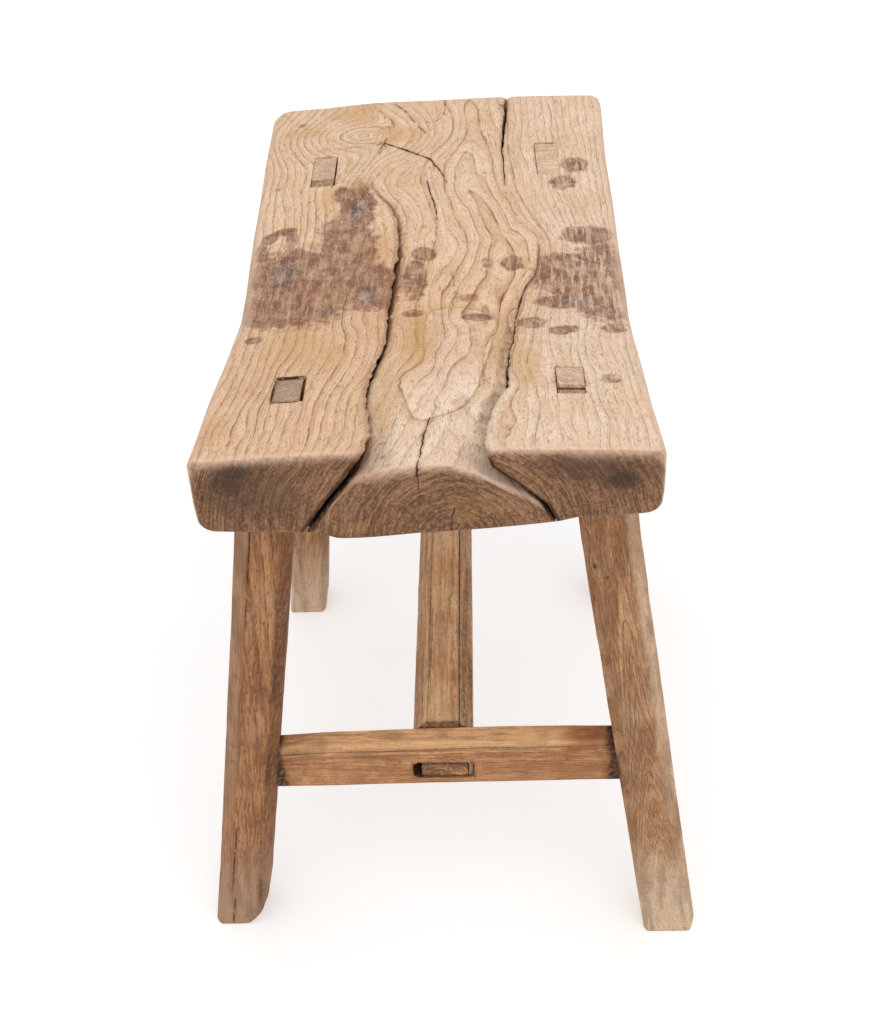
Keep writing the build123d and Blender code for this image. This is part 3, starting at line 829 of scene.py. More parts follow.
def makeLeg(name):
    v = legValues[name]
    seed, side = v["seed"], math.copysign(1, v["head"][0])
    zTop = v["headHeight"] - 57
    z = np.concatenate([np.linspace(0, 0.1, 26)[:-1], np.linspace(0.1, 1, 190)]) * zTop
    width = legWidth(v, z)
    fade = (1 - 0.3 * smoothStep(zTop - 70, zTop, z)) * (0.55 + 0.45 * smoothStep(0, 70, z))
    fade = fade * (1 + 0.12 * lineNoise(z, 30, seed + 5))
    a, b = sectionLoop(width, v["depth"], [cut * fade for cut in v["cuts"]])
    zz = np.broadcast_to(z[:, None], a.shape)
    a, b = swollen(a, b, zz, 0.35, 14, 0.5, 0.18, (seed, seed + 2), 0.5)
    for dx, dz, size, deep in v["dents"]:
        if size > 0:
            b = b + deep * bell(np.hypot(a - dx, zz - dz), size) * (b < 0)
        else:
            a = a + deep * bell(zz - dz, size) * (a > v["depth"] * 0.3)
    # the foot, with its worn corner
    way, run, rise = v["worn"]
    turn = np.clip(1 - z / rise, 0, 1)
    whole = width / 2 - 1.2 * np.exp(-z / 1.2)
    worn = whole - run * (1 - (1 - turn ** 1.7) ** (1 / 1.7))
    low, high = (0.3 - whole, worn) if way > 0 else (-worn, whole - 0.3)
    deep = (v["depth"] / 2 - 1.5 * np.exp(-z / 1.6))[:, None]
    a, b = np.clip(a, low[:, None], high[:, None]), np.clip(b, -deep, deep)
    cx, cy = legCentre(name, zz)
    x, y = cx + a, cy + b
    # the shoulder follows the underside of the seat
    zz = zz + smoothStep(zTop - 60, zTop, z)[:, None] * (seatUnder(x[-1], y[-1]) + 0.4 - zTop)
    low = seatUnder(*v["head"]) - 4
    block = headBlock(name, 8.3, v["tenonFront"], v["mortise"] - 0.1, low, v["tenonSink"], seed, 0.6)
    piece = joinMesh(name + "_wood", [tubeMesh(np.stack([x, y, zz], -1)), block])

    places = meshPlaces(piece)
    z = places[:, 2]
    a, b = places[:, :2].T - legCentre(name, z)
    front, below = b < 0, z < zTop
    signed, half = crackFields(np.stack([a, z], 1), v["cracks"])
    edge = legWidth(v, z) / 2
    edges = np.minimum(np.abs(a + edge - v["cuts"][0]), np.abs(a - edge + v["cuts"][1]))
    railShade = bell(z - railValues["height"], 24, 4) * bell(np.clip(v["footWidth"] / 2 - 1 + side * a, 0, 99), 3)
    dirts = [
        # painted shade at the leg's top, under the seat
        0.9 * trail(zTop - 2 - z, 9) * (z < zTop + 4),
        0.45 * bell(edges, 1.1) * smoothStep(-0.3, 0.4, valueNoise(places, 30, seed + 9)) * below * front,
        0.35 * smoothStep(-0.05, 0.35, valueNoise(places * (1, 1, 0.08), 5, seed + 13)) * below,
        # painted shade where the rail goes into the leg
        0.9 * railShade,
    ]
    for kx, kz, size in v["knots"]:
        dirts.append(1.3 * bell(np.hypot((a - kx) * 1.2, (z - kz) * 0.9), size * 0.42) * front)
    for dx, dz, size, _ in v["dents"]:
        dirts.append(0.7 * bell(np.hypot(a - dx, z - dz), size * 0.6) * front * (size > 0))
    wears = [smoothStep(125, 15, z + 14 * valueNoise(places, 18, seed + 11))]
    # arrises rubbed pale, or darkened with painted shade, on the left and on the right
    for k, way in enumerate((-1, 1)):
        arris = smoothStep(9, 13, way * a) * below
        wears.append(v["rubbed"][k] * arris * smoothStep(60, 200, z))
        dirts.append(v["arrisShade"][k] * arris * (0.8 + 0.4 * valueNoise(places * (1, 1, 0.2), 9, seed + 17)))
    storeNumbers(
        piece, grain=legFigure(v, a, b, z), dirt=np.clip(highest(*dirts), 0, 1), wear=highest(*wears),
        endGrain=smoothStep(0.5, 0.9, np.abs(meshVectors(piece, "normal")[:, 2])),
        check=signed, checkWide=np.where(front, half, -1), topTone=v["topTone"] * (z > 440),
    )
    finishPiece(piece, name)


def makeStrip(name):
    leg, front, back, sink = stripValues[name]
    low = legValues[leg]["headHeight"] - 34
    piece = joinMesh(name + "_wood", [headBlock(leg, 8.1, front, back, low, sink, len(name), 0.3, steps=(12, 4))])
    x, y, z = meshPlaces(piece).T
    storeNumbers(piece, grain=np.stack([x + 50, z, y * 2], 1), dirt=0, wear=0, endGrain=1, check=50, checkWide=-1)
    finishPiece(piece, name)


# frame of an end rail: its middle, the directions along it, level across it and up, and its length
def railFrame(end):
    height, tilt = railValues["height"], railValues["tilts"][end]
    a, b = (np.array([*legCentre(f"leg_{end}_{side}", height + rise), height + rise])
            for side, rise in (("left", -tilt), ("right", tilt)))
    length = np.linalg.norm(b - a)
    run = (b - a) / length
    level = np.cross((0, 0, 1), run)
    level /= np.linalg.norm(level)
    return (a + b) / 2, run, level, np.cross(run, level), length


def makeEndRail(end, seed):
    v = railValues
    tilt = v["tilts"][end]
    middle, run, level, up, length = railFrame(end)
    s = np.linspace(15 - length / 2, length / 2 - 15, 170)
    wave = lineNoise(s, 45, seed, axis=0)
    cut = v["cut"] * (1 + 0.35 * wave)
    a, b = sectionLoop(v["thickness"], v["depth"] + 0.8 * wave, [cut, cut, cut, cut * 1.3])
    ss = np.broadcast_to(s[:, None], a.shape)
    a, b = swollen(a, b, ss, 0.3, 15, 0.45, 0.16, (seed, seed + 1), 0.4)
    if tilt:
        drop = v["frontDrop"] * smoothStep(30, -90, ss) * smoothStep(-4, -14, b)
        b = b + along(v["frontLift"], ss) * smoothStep(2, 12, b) - drop
    rings = middle + ss[..., None] * run + a[..., None] * level + b[..., None] * up
    piece = joinMesh(f"stretcher_{end}_wood", [tubeMesh(rings)])
    cutPocket(piece, middle[1])

    places = meshPlaces(piece)
    x, _, z = places.T
    s, a, b = ((places - middle) @ way for way in (run, level, up))
    if tilt:
        b = b - along(v["frontLift"], s) * smoothStep(2, 12, b)
    rail = np.stack([s, a, b], 1)
    soft = rail * (0.25, 1, 1)
    high = b + 46 + 3.5 * valueNoise(soft, 26, seed + 3) + 1.2 * valueNoise(soft, 8, seed + 4)
    figure = np.stack([np.hypot(a + 24 + 0.02 * s, high), s, np.arctan2(a + 24, high) * 40], 1)
    # a check that sags along the upper edge of the front
    sag = -1.2 * np.cos(s / 62 + 0.4) + 0.5 * np.sin(s / 17)
    top, face = v["depth"] / 2, v["thickness"] / 2
    check = np.where(b > top - 10, b - (top - 4.6) - sag, 50)
    inside = (np.abs(a) < face - 0.5) & (x > v["longLeft"] - 2) & (x < v["longRight"] + 2) & (np.abs(z - 166.5) < 10)
    beside = np.hypot(highest(v["longLeft"] - x, x - v["longRight"], 0), highest(z - v["tenonHigh"], 0))
    # painted shade at the rail's ends, where they go into the legs
    ends = 1.15 * trail(length / 2 - 24.5 - np.abs(s), 4) * (1 + 0.4 * valueNoise(places, 9, seed + 6))
    mottle = valueNoise(rail * (0.5, 1, 1), 9, seed + 8) - 0.25 + 0.5 * smoothStep(90, 125, np.abs(s))
    streaks = valueNoise(rail * (0.13, 1, 1), 2.6, seed + 9) + 0.6 * valueNoise(rail * (0.3, 1, 1), 12, seed + 10)
    # painted shade round the slot and inside it, and at the ends; mottles, streaks and a darker front face besides
    dirt = highest(
        np.clip(ends, 0, 1), 0.85 * bell(beside, 1.2) * (z > 160) * (z < 180),
        inside * (0.75 + 0.25 * (x < v["longLeft"] + 7)), 0.4 * smoothStep(0, 0.5, mottle),
        (0.1 + 0.1 * smoothStep(10, 60, s)) * (a < 1 - face), 0.5 * smoothStep(0.2, 0.7, streaks),
    )
    # the pale band under the front's upper arris is a painted highlight; the pale top face is wear
    wear = highest(0.85 * bell(b - top + 2.2, 2.8) * (a < 4), 0.45 * smoothStep(top - 1.5, top - 0.5, b))
    rust = spotField(s, a, v["rust"]) * (b > 12)
    storeNumbers(
        piece, grain=figure, dirt=dirt, wear=wear * (1 - np.clip(rust + 0.4, 0, 1)) if tilt else wear,
        endGrain=smoothStep(0.6, 0.9, np.abs(meshVectors(piece, "normal") @ run)),
        check=check, checkWide=np.where((a < 0) & (np.abs(s) < length / 2 - 20), 0.2, -1), stain=np.clip(rust, -1, 1),
    )
    finishPiece(piece, "stretcher_" + end)


# rounded slot of the long rail's tenon, right through the end rail
def cutPocket(piece, y):
    v = railValues
    low, high, left, right = v["tenonLow"] - 0.4, v["tenonHigh"] + 0.6, v["longLeft"] - 0.2, v["longRight"] + 0.3
    outline = []
    for cx, cz, start, size in (
        (right - 4.5, low + 3.5, -90, 3.5), (right - 4.5, high - 4.5, 0, 4.5),
        (left + 5, high - 5, 90, 5), (left + 5, low + 5, 180, 5),
    ):
        angles = [math.radians(start + 90 * k / 5) for k in range(6)]
        outline += [(cx + size * math.cos(angle), cz + size * math.sin(angle)) for angle in angles]
    # the upper edge is chipped in waves
    fine = []
    for (x0, z0), (x1, z1) in zip(outline, outline[1:] + outline[:1]):
        count = max(1, int(abs(x1 - x0) / 1.2))
        for k in range(count):
            x, z = x0 + (x1 - x0) * k / count, z0 + (z1 - z0) * k / count
            fine.append((x, z + (0.45 * math.sin(x * 0.55) + 0.3 * math.sin(x * 1.7)) * (1 if z > high - 3 else 0.3)))
    rows, n = (-30, -7.8, 0, 7.8, 30), len(fine)
    grid = np.arange(n * len(rows)).reshape(-1, n)
    faces = [grid[0].tolist(), grid[-1, ::-1].tolist()] + gridFaces(np.concatenate([grid, grid[:, :1]], 1), flip=True)
    cutter = makeMesh("slot", [(x, y + row, z) for row in rows for x, z in fine], faces)
    weld(cutter, 0.001)
    cutAway(piece, cutter)


def makeLongRail():
    v = railValues
    front, back = railFrame("front")[0][1] + 9.4, railFrame("back")[0][1] - 9.4
    s = np.linspace(front, back, 190)
    cut = v["longCut"] * (1 + 0.08 * lineNoise(s, 50, 91, axis=0))
    a, b = sectionLoop(v["longRight"] - v["longLeft"], v["longHigh"] - v["longLow"], [2, 2, cut * 1.15, cut])
    ss = np.broadcast_to(s[:, None], a.shape)
    a, b = swollen(a, b, ss, 0.3, 15, 0.45, 0.16, (92, 93), 0.4)
    rings = np.stack([(v["longLeft"] + v["longRight"]) / 2 + a, ss, (v["longLow"] + v["longHigh"]) / 2 + b], -1)
    parts = [tubeMesh(rings)]
    # the two tenons, a little rough at their ends
    for y0, y1, x0, x1 in (
        (front - 19 + v["recess"], front + 1, v["longLeft"] + v["hollow"], v["longRight"] - v["sliver"]),
        (back - 1, back + 17.5, v["longLeft"] + 0.4, v["longRight"] - 0.4),
    ):
        t = np.linspace(y0, y1, 14)
        a, b = sectionLoop(0 * t + x1 - x0, v["tenonHigh"] - v["tenonLow"] - 0.4, [1.2] * 4)
        tt = np.broadcast_to(t[:, None], a.shape)
        places, faces = tubeMesh(np.stack([(x0 + x1) / 2 + a, tt, (v["tenonLow"] + v["tenonHigh"]) / 2 + b], -1))
        ends = (places[:, 1] < y0 + 0.01) | (places[:, 1] > y1 - 0.01)
        places[:, 1] += np.where(ends, 0.35 * valueNoise(places, 3.5, 95), 0)
        parts.append((places, faces))
    piece = joinMesh("stretcher_centre_wood", parts)

    places = meshPlaces(piece)
    x, y, z = places.T
    soft = places * (1, 0.25, 1)
    sway = 2.5 * valueNoise(soft, 24, 93) + valueNoise(soft, 8, 94)
    figure = np.stack([np.hypot(x + 6 + sway, z - 140), y, np.arctan2(x + 6, z - 140) * 40], 1)
    signed, half = crackFields(places[:, :2], [
        (0.2, (-14.2, front - 60), (-13.9, front + 80), (-14.1, back + 60)),
        (0.12, (-9.5, front), (-10.5, front + 60), (-9.5, front + 120)),
        (0.34, (9.4, front - 60), (9.0, front + 60), (9.4, back + 60)),
    ])
    tenon, low, high = y < front - 12, v["tenonLow"], v["tenonHigh"]
    blotch = spotField(x, y, [(4, front + 12, 8, 16), (5, front + 46, 6, 12)])
    # painted shadow where the rail meets the front rail, painted shade on the tenon's upper part in the slot and on
    # both chamfers, and dirt in blotches and streaks
    dirt = highest(
        np.clip(0.8 * trail(y - front - 0.6, 1.3) * (z > 176), 0, 1), np.clip(0.45 * blotch, 0, 1),
        0.9 * tenon * smoothStep(high - 7, high - 3.5, z),
        (0.56 + 0.3 * valueNoise(places * (1, 0.06, 1), 3, 98)) * smoothStep(8.0, 10, x) * (z > 180),
        (0.42 + 0.25 * valueNoise(places * (1, 0.06, 1), 3, 87)) * smoothStep(-15.5, -17.5, x) * (z > 180),
        0.36 * smoothStep(0.1, 0.45, valueNoise(places * (1, 0.05, 1), 3.4, 96)) * (z > 170),
        0.4 * smoothStep(-0.3, 0.5, valueNoise(places, 5, 97)) * (y < front - 10),
    )
    wear = highest(
        0.3 * bell(x + 3, 9) * (z > v["longHigh"] - 3), 0.7 * bell(x + 14, 1.6) * (z > v["longHigh"] - 12),
        0.9 * bell(x - 8, 6) * bell(z - low - 1, 2) * tenon,
    )
    storeNumbers(
        piece, grain=figure, dirt=dirt, wear=wear, endGrain=1.0 * tenon,
        check=signed, checkWide=np.where(z > v["longHigh"] - 12, half, -1),
    )
    finishPiece(piece, "stretcher_centre")


# curved sliver that tightens the long rail's tenon
def makeSliver():
    v = railValues
    front = railFrame("front")[0][1] - 9.5 + v["recess"] - 0.4
    height = v["tenonHigh"] - v["tenonLow"]
    t = np.linspace(0, 12, 10)
    a, b = sectionLoop(0 * t + v["sliver"] - 1.0, height - 0.5, [0.8, 1.4, 2.4, 0.8])
    tt = np.broadcast_to(t[:, None], a.shape)
    x = v["longRight"] - v["sliver"] / 2 - 0.7 + a * 0.85 + 0.8 * np.cos(b / height * 2.6)
    places, faces = tubeMesh(np.stack([x, front + tt, (v["tenonLow"] + v["tenonHigh"]) / 2 + b], -1))
    places[:, 1] += np.where(places[:, 1] < front + 0.01, 0.5 * valueNoise(places, 1.6, 99), 0)
    piece = joinMesh("wedge_centre_rail_wood", [(places, faces)])
    x, y, z = meshPlaces(piece).T
    figure = np.stack([x * 1.5 + 60, y, z], 1)
    storeNumbers(piece, grain=figure, dirt=0.15, wear=0.3, endGrain=1, check=50, checkWide=-1)
    finishPiece(piece, "wedge_centre_rail")


# Marks on the seat, in mm from its middle line and from mid length, those of the front end in x and z.
# Spots are x, y, their half sizes, a turn in degrees and a peak. checks are a half width and a line.
# outlines are half widths of the gap round a tenon: front, right, back and left.
seatMarks = {
    "stains": [
        (-57, 92, 13, 28), (-62, 48, 21, 34, 12), (-96, 0, 42, 46), (-112, -8, 22, 38), (-43, -1, 21, 25, 0, 0.5),
        (-7, 34, 9, 8, 0, 0.3), (-13, 6, 8, 21, 0, 0.12), (-14, -34, 7, 6, 0, 0.1), (-125, -25, 7, 6, 0, 0.5),
        (-117, -66, 6, 6, 0, 0.4), (106, 141, 10, 10, 30, 0.25), (96, 118, 10, 8, 20, 0.25),
        (110, 54, 20, 10, 0, 0.2), (87, 9, 19, 24, 0, 0.25), (117, -2, 23, 48, 0, 0.3), (90, -21, 20, 8, 0, 0.3),
        (119, -62, 8, 8, 0, 0.3), (66, -54, 10, 9, 0, 0.25), (83, -67, 7, 7, 0, 0.2), (90, -64, 6, 6, 0, 0.2),
        (55, 22, 8, 8, 0, 0.2), (30, -43, 10, 7, 0, 0.25), (24, -16, 8, 4, 0, 0.05), (110, -141, 6, 6, 0, 0.05),
        (-124, 45, 5, 12, 5, 0.2), (-119, 62, 8, 5, 40, 0.2), (-109, 68, 8, 4.5, 10, 0.2),
        (-103, 57, 4.5, 10, 0, 0.15), (37, 22, 5, 5, 0, 0.0), (-70, 110, 6, 10, 0, 0.1),
    ],
    "blues": [(-106, 20, 15, 20), (-72, -28, 14, 9), (-45, -10, 10, 12), (-57, 88, 8, 16), (100, -20, 14, 8)],
    "ambers": [
        (-66, 217, 19, 12), (-27, 186, 18, 10), (-79, 103, 10, 14), (-41, 31, 11, 24), (-86, -80, 17, 34),
        (-26, -157, 7, 38), (-9, -84, 9, 50), (-126, -198, 9, 18), (-58, 118, 8, 12), (-100, 196, 14, 8),
        (60, -120, 8, 30), (-60, -100, 9, 20),
    ],
    "checks": [
        (0.7, (-46.7, 173.5), (-38.9, 174.4), (-20.7, 162.5), (-4.3, 150.8), (4.3, 133.3), (8.8, 118.9)),
        (0.4, (-6.2, 123.5), (-3.8, 108.1), (0.8, 88), (2.5, 68.6)),
        (0.3, (-37.6, 182.6), (-41, 173), (-45.5, 161.3)),
        (0.25, (-39.4, 235.8), (-25.1, 217.4), (-13.5, 195.2), (-3.8, 180.7)),
        (0.4, (1.5, -186), (-1.5, -205), (-2.9, -219.7), (-5.1, -238)),
        (0.22, (8, 236), (6.5, 210), (-3, 199), (-12, 203)), (0.12, (25, -212), (23, -244)),
        (0.15, (-90, 172), (-66, 171), (-47, 174)), (0.2, (12, 20), (15, -10), (11, -40)),
        (0.2, (-112, 66), (-104, 69)), (0.1, (104, -150), (107, -190), (109, -230)),
        (0.12, (18, -60), (16, -95), (19, -120)), (0.15, (-8, 62), (-6, 30), (-10, 0)),
    ],
    "specks": [
        (-106.5, 207, 3.2), (-92, 126, 2.5), (-119, 122, 2.6), (-24, -219, 2.6), (-21, -228, 1.8), (-26, -206, 2.0),
        (-8, 66, 1.8), (-128, -204, 1.5),
    ],
    "tongue": [
        (-4, -31), (-5, -72), (-4, -117), (-16, -128), (-18, -147), (-11, -179), (-5, -191), (10, -184), (25, -168),
        (31, -143), (37, -103), (45, -42), (30, -30), (10, -26), (-4, -31),
    ],
    "outlines": {
        "leg_front_left": (0.55, 0.5, 0.75, 0.35), "leg_front_right": (0.15, 0.2, 0.2, 0.2),
        "leg_back_left": (0.45, 0.3, 0.2, 0.15), "leg_back_right": (0.2, 0.15, 0.25, 0.2),
    },
    "endChecks": [(0.55, (-5.4, 512), (-4.6, 488), (-4.2, 462)), (0.35, (15, 460), (13, 452), (12.5, 440))],
    "soot": [
        (-107, 487, 14, 8, 12), (-111, 479, 12, 11, 0, 0.42), (-96, 472, 26, 18, 0, 0.15), (109, 477, 12, 8, 0, 0.6),
        (98, 484, 26, 8, 0, 0.15), (70, 488, 14, 4, 0, 0.1),
    ],
    "endAmber": [(20, 457, 7, 7, 0, 0.0), (-45, 446, 8, 4, 0, -0.1), (34, 462, 12, 5, 0, -0.1)],
}


def insideOf(points, outline):
    result = np.zeros(len(points), bool)
    x, y = points.T
    for (x0, y0), (x1, y1) in zip(outline[:-1], outline[1:]):
        crosses = (y0 > y) != (y1 > y)
        result ^= crosses & (x < (x1 - x0) * (y - y0) / (y1 - y0 + 1e-9) + x0)
    return result


# signed distance from the tongue's outline, above 0 inside, with its corners rounded off twice
def tongueField(plan, rounds=2):
    outline = np.array(seatMarks["tongue"])
    for _ in range(rounds):
        ahead = outline[1:] - outline[:-1]
        outline = np.stack([outline[:-1] + 0.25 * ahead, outline[:-1] + 0.75 * ahead], 1).reshape(-1, 2)
        outline = np.concatenate([outline, outline[:1]])
    return np.where(insideOf(plan, outline), 1, -1) * np.abs(lineDistance(plan, outline)[0])


def tenonGaps(half=8.8, out=0.4):
    gaps = []
    for leg, sizes in seatMarks["outlines"].items():
        x, y0 = mortisePlace(leg, 485 if "front" in leg else 493)
        x0, x1, y1 = x - half, x + half, y0 + legValues[leg]["mortise"]
        starts = (x0, y0 - out), (x1, y0), (x1, y1 + out), (x0, y1)
        ends = (x1, y0 - out), (x1, y1), (x0, y1 + out), (x0, y0)
        gaps += zip(sizes, starts, ends)
    return gaps


# the dark of the shakes: painted shade down in them and in the hollows beside them, and darker rims along them
def shakeShadeAndDirt(places, upper, down):
    x, y, _ = places.T
    lines, hollows, rims, besides = {}, [], [], []
    for side, shake in shakes.items():
        centre, half = shakeLine(side, y)
        gap = np.abs(x - centre - shakeLean(side, np.clip(down, 0, 80), y))
        lines[side] = centre, half, gap
        hollows.append(bell(np.clip(gap - half - 0.3, 0, 99), 1.3) * (half > 0.1))
        rims.append(bell(gap, half + shake["rim"]) * (half > 0.1))
        besides.append(shake["beside"][1] * bell(gap, shake["beside"][0], 4))
    (cl, _, _), (cr, hr, gapR) = lines[-1], lines[1]
    # painted shadow in and beside the shakes where the heart lies low, with a brown strip along the right shake
    valley = highest(
        0.62 * bell(x - cr + 3.5, 3.6, 3) * smoothStep(-8, -40, y) * smoothStep(-208, -186, y) * (x < cr + 1.5),
        0.9 * bell(gapR, hr + 0.5, 4) * (down > 1.2) * (y < -95) * (y > -236) * (upper > 0.02),
        0.3 * bell(x - cl - 4, 4) * smoothStep(-150, -190, y) * (x > cl),
        highest(*besides) * smoothStep(-195, -222, y) * smoothStep(9, 15, down) * (upper > 0.1) * (y > -232.8),
    )
    # painted shade inside the shakes, below their lips
    hollow = highest(*hollows) * (0.65 + 0.35 * smoothStep(3, 9, down)) * smoothStep(0.4, 1.5, down)
    dirt = highest(hollow, 0.5 * highest(*rims) * upper, valley * (0.7 + 0.5 * valueNoise(places, 5, 83)))
    return np.clip(dirt, 0, 1), cl, cr


# how worn the arrises are: the pale top also runs over each end and fades down the end face
def arrisWear(places, up):
    x, y, z = places.T
    off = {end: np.abs(y - end * seatValues["halfLength"]) for end in (-1, 1)}
    wear = highest(
        0.6 * np.exp(-np.minimum(off[-1], off[1]) / 7) * smoothStep(0.25, 0.6, up),
        0.7 * trail(129 - np.abs(x), 3) * smoothStep(0.1, 0.5, up),
    )
    fade = 3.4 + 2 * valueNoise(places, 12, 85)
    for near in (off[end] < 3.5 for end in (-1, 1)):
        edge = np.full(281, -1e9)
        np.maximum.at(edge, np.round(x[near]).astype(int) + 140, z[near])
        known = np.flatnonzero(edge > 0)
        below = np.interp(x, known - 140, edge[known]) - z
        wear = np.where(near, np.maximum(wear, 0.7 * bell(np.clip(below - 0.3, 0, 99), fade)), wear)
    return wear


def dressSeat(piece):
    marks, places, normals = seatMarks, meshPlaces(piece), meshVectors(piece, "normal")
    x, y, z = places.T
    plan, face = places[:, :2], places[:, [0, 2]]
    down = seatTop(x, y) - z
    upper = smoothStep(-0.1, 0.35, normals[:, 2])
    endGrain = smoothStep(0.45, 0.75, np.abs(normals[:, 1])) * (np.abs(y) > 226)
    onTop, high, frontEnd = upper > 0.3, down < 40, (y < -228) & (endGrain > 0.5)

    signed, half = crackFields(plan, marks["checks"] + tenonGaps())
    endSigned, endHalf = crackFields(face, marks["endChecks"])
    half = np.where(frontEnd, endHalf, np.where(onTop, half, -1))

    dirt, cl, cr = shakeShadeAndDirt(places, upper, down)
    specks = [0.8 * bell(np.hypot(x - cx, (y - cy) * 1.6), size) for cx, cy, size in marks["specks"]]
    # painted light: a pale wash on the right flank, the heart's front and the back half of the top
    bleach = highest(
        0.75 * smoothStep(cr - 10, cr + 25, x), 0.95 * smoothStep(-80, -170, y) * (x > cl - 2) * (x < cr + 8),
        0.35 * smoothStep(-20, 60, y),
    ) * onTop * (1 - endGrain) * high

    stain = np.where(onTop, spotField(x, y, marks["stains"]), -2)
    flank = (np.abs(normals[:, 0]) > 0.7) & (down < 30)
    stain = np.where(flank, spotField(0 * x, y, [(0, 0, 10, 40)]) - down / 40, stain)
    amber = np.where(onTop, spotField(x, y, marks["ambers"]), -2)
    amber = np.where(frontEnd, spotField(x, z, marks["endAmber"]), amber)
    blue = np.clip(spotField(x, y, marks["blues"]), -1, 1) * onTop
    soot = np.where((y < -228) & (endGrain > 0.4), spotField(x, z, marks["soot"]), -2)
    storeNumbers(
        piece, grain=seatFigure(places), endGrain=endGrain, dirt=highest(dirt, *specks),
        wear=arrisWear(places, normals[:, 2]),
        check=np.where(frontEnd, endSigned, signed), checkWide=half,
        tongue=np.where((upper > 0.4) & high, np.clip(tongueField(plan), -20, 20), -20), stain=np.clip(stain, -1, 1),
        blue=blue, amber=np.clip(amber, -1, 1), soot=np.clip(soot, -1, 1),
        under=smoothStep(-0.2, -0.7, normals[:, 2]), bleach=bleach,
    )


# a node group from what its builder makes, its inputs numbers, or places where they have no value
def makeGroup(name, build, inputs):
    tree = bpy.data.node_groups.new(name, "ShaderNodeTree")
    for label, value in inputs.items():
        kind = "NodeSocketVector" if value is None else "NodeSocketFloat"
        socket = tree.interface.new_socket(name=label, in_out="INPUT", socket_type=kind)
        if value is not None:
            socket.default_value = value
    made = build(Net(tree), tree.nodes.new("NodeGroupInput").outputs)
    for label in made:
        tree.interface.new_socket(name=label, in_out="OUTPUT", socket_type="NodeSocketFloat")
    out = tree.nodes.new("NodeGroupOutput").inputs
    for label, value in made.items():
        tree.links.new(value, out[label])


# growth rings, their fine lines, pores and fibres from a place of ring distance, length and turn in mm
def growthRings(net, given):
    place, width = given["Place"], given["Ring Width"]
    distance = net.add("SeparateXYZ", {0: place}).outputs[0]
    sway = net.drift(given["Waver"], place, 22, 3, 0.55, (1, 0.35, 1))
    small = net.drift(1.3, place, 4.5, 2, 0.5, (1, 0.3, 1))
    swayed = net.calc("ADD", net.calc("ADD", distance, sway), small)
    phase = net.calc("DIVIDE", swayed, width)
    ring, part = net.calc("FLOOR", phase), net.calc("FRACT", phase)
    tone = net.add("TexWhiteNoise", {"W": net.calc("ADD", ring, given["Seed"])}, noise_dimensions="1D").outputs[0]
    band = net.times(net.ease(part, 0.3, 0.85), net.ease(part, 0.9, 1.0, 1, 0))
    rise, fall = net.ease(part, 0.76, 0.92), net.ease(part, 0.93, 1.0, 1, 0)
    broken = net.ease(net.noise(place, 2.4, 3, 0.62, (1, 0.17, 1)), 0.38, 0.6, given["Broken"], 1)
    late = net.times(net.times(rise, fall), net.times(broken, net.timesPlus(tone, 0.65, 0.4)))
    finePart = net.calc("FRACT", net.calc("DIVIDE", swayed, net.times(width, 0.31)))
    fineLine = net.times(net.ease(finePart, 0.5, 0.85), net.ease(finePart, 0.88, 1.0, 1, 0))
    fine = net.times(fineLine, net.ease(net.noise(place, 5, 3, 0.6, (1, 0.22, 1)), 0.42, 0.66))
    fibres = net.noise(place, 1.0, 4, 0.65, (1, 0.05, 1))
    pores = net.ease(net.noise(place, 0.62, 2, 0.55, (1, 0.14, 1)), 0.59, 0.7)
    net.height = net.timesPlus(fibres, 0.22, net.times(late, -0.5))
    net.raiseBy(fine, -0.2)
    net.raiseBy(pores, -0.25)
    return {
        "Late Wood": late, "Fine Lines": fine, "Tone": tone, "Fibres": fibres, "Pores": pores,
        "End Streaks": net.noise(place, 1.3, 3, 0.7, (1, 0.02, 0.12)),
        "Band": net.times(band, net.timesPlus(tone, 0.9, 0.15)), "Height": net.height,
    }


# dark hairline and its rim, from a signed distance and a half width in mm
def hairCrack(net, given):
    place = given["Place"]
    away = net.calc("ABSOLUTE", net.calc("ADD", given["Distance"], net.drift(given["Wander"], place, 5, 3, 0.6)))
    swell = net.ease(net.noise(place, 7, 3, 0.7), 0.33, 0.6, given["Thinnest"], 1.2)
    half = net.times(given["Half Width"], swell)
    edge, shown = net.calc("SUBTRACT", away, half), net.ease(half, 0.02, 0.32)
    ends = {"Mask": (-0.2, 0.28), "Rim": (0.2, 2.2)}
    return {label: net.times(net.ease(edge, low, high, 1, 0), shown) for label, (low, high) in ends.items()}


# soft spot with a ragged rim, from a field that is 0 at the rim
def raggedSpot(net, given):
    size = net.add("CombineXYZ", {axis: given["Grain Size"] for axis in range(3)}).outputs[0]
    spread = net.add("VectorMath", {0: given["Place"], 1: size}, operation="DIVIDE").outputs[0]
    cloud = net.add("TexNoise", {"Vector": spread, "Scale": 1, "Detail": 4, "Roughness": 0.62}).outputs[0]
    field = net.timesPlus(net.calc("SUBTRACT", cloud, 0.5), given["Ragged"], given["Field"])
    mask = net.ease(field, net.times(given["Softness"], -1), given["Softness"])
    return {"Mask": mask, "Rim": net.times(mask, net.ease(field, 0.1, 0.3, 1, 0))}


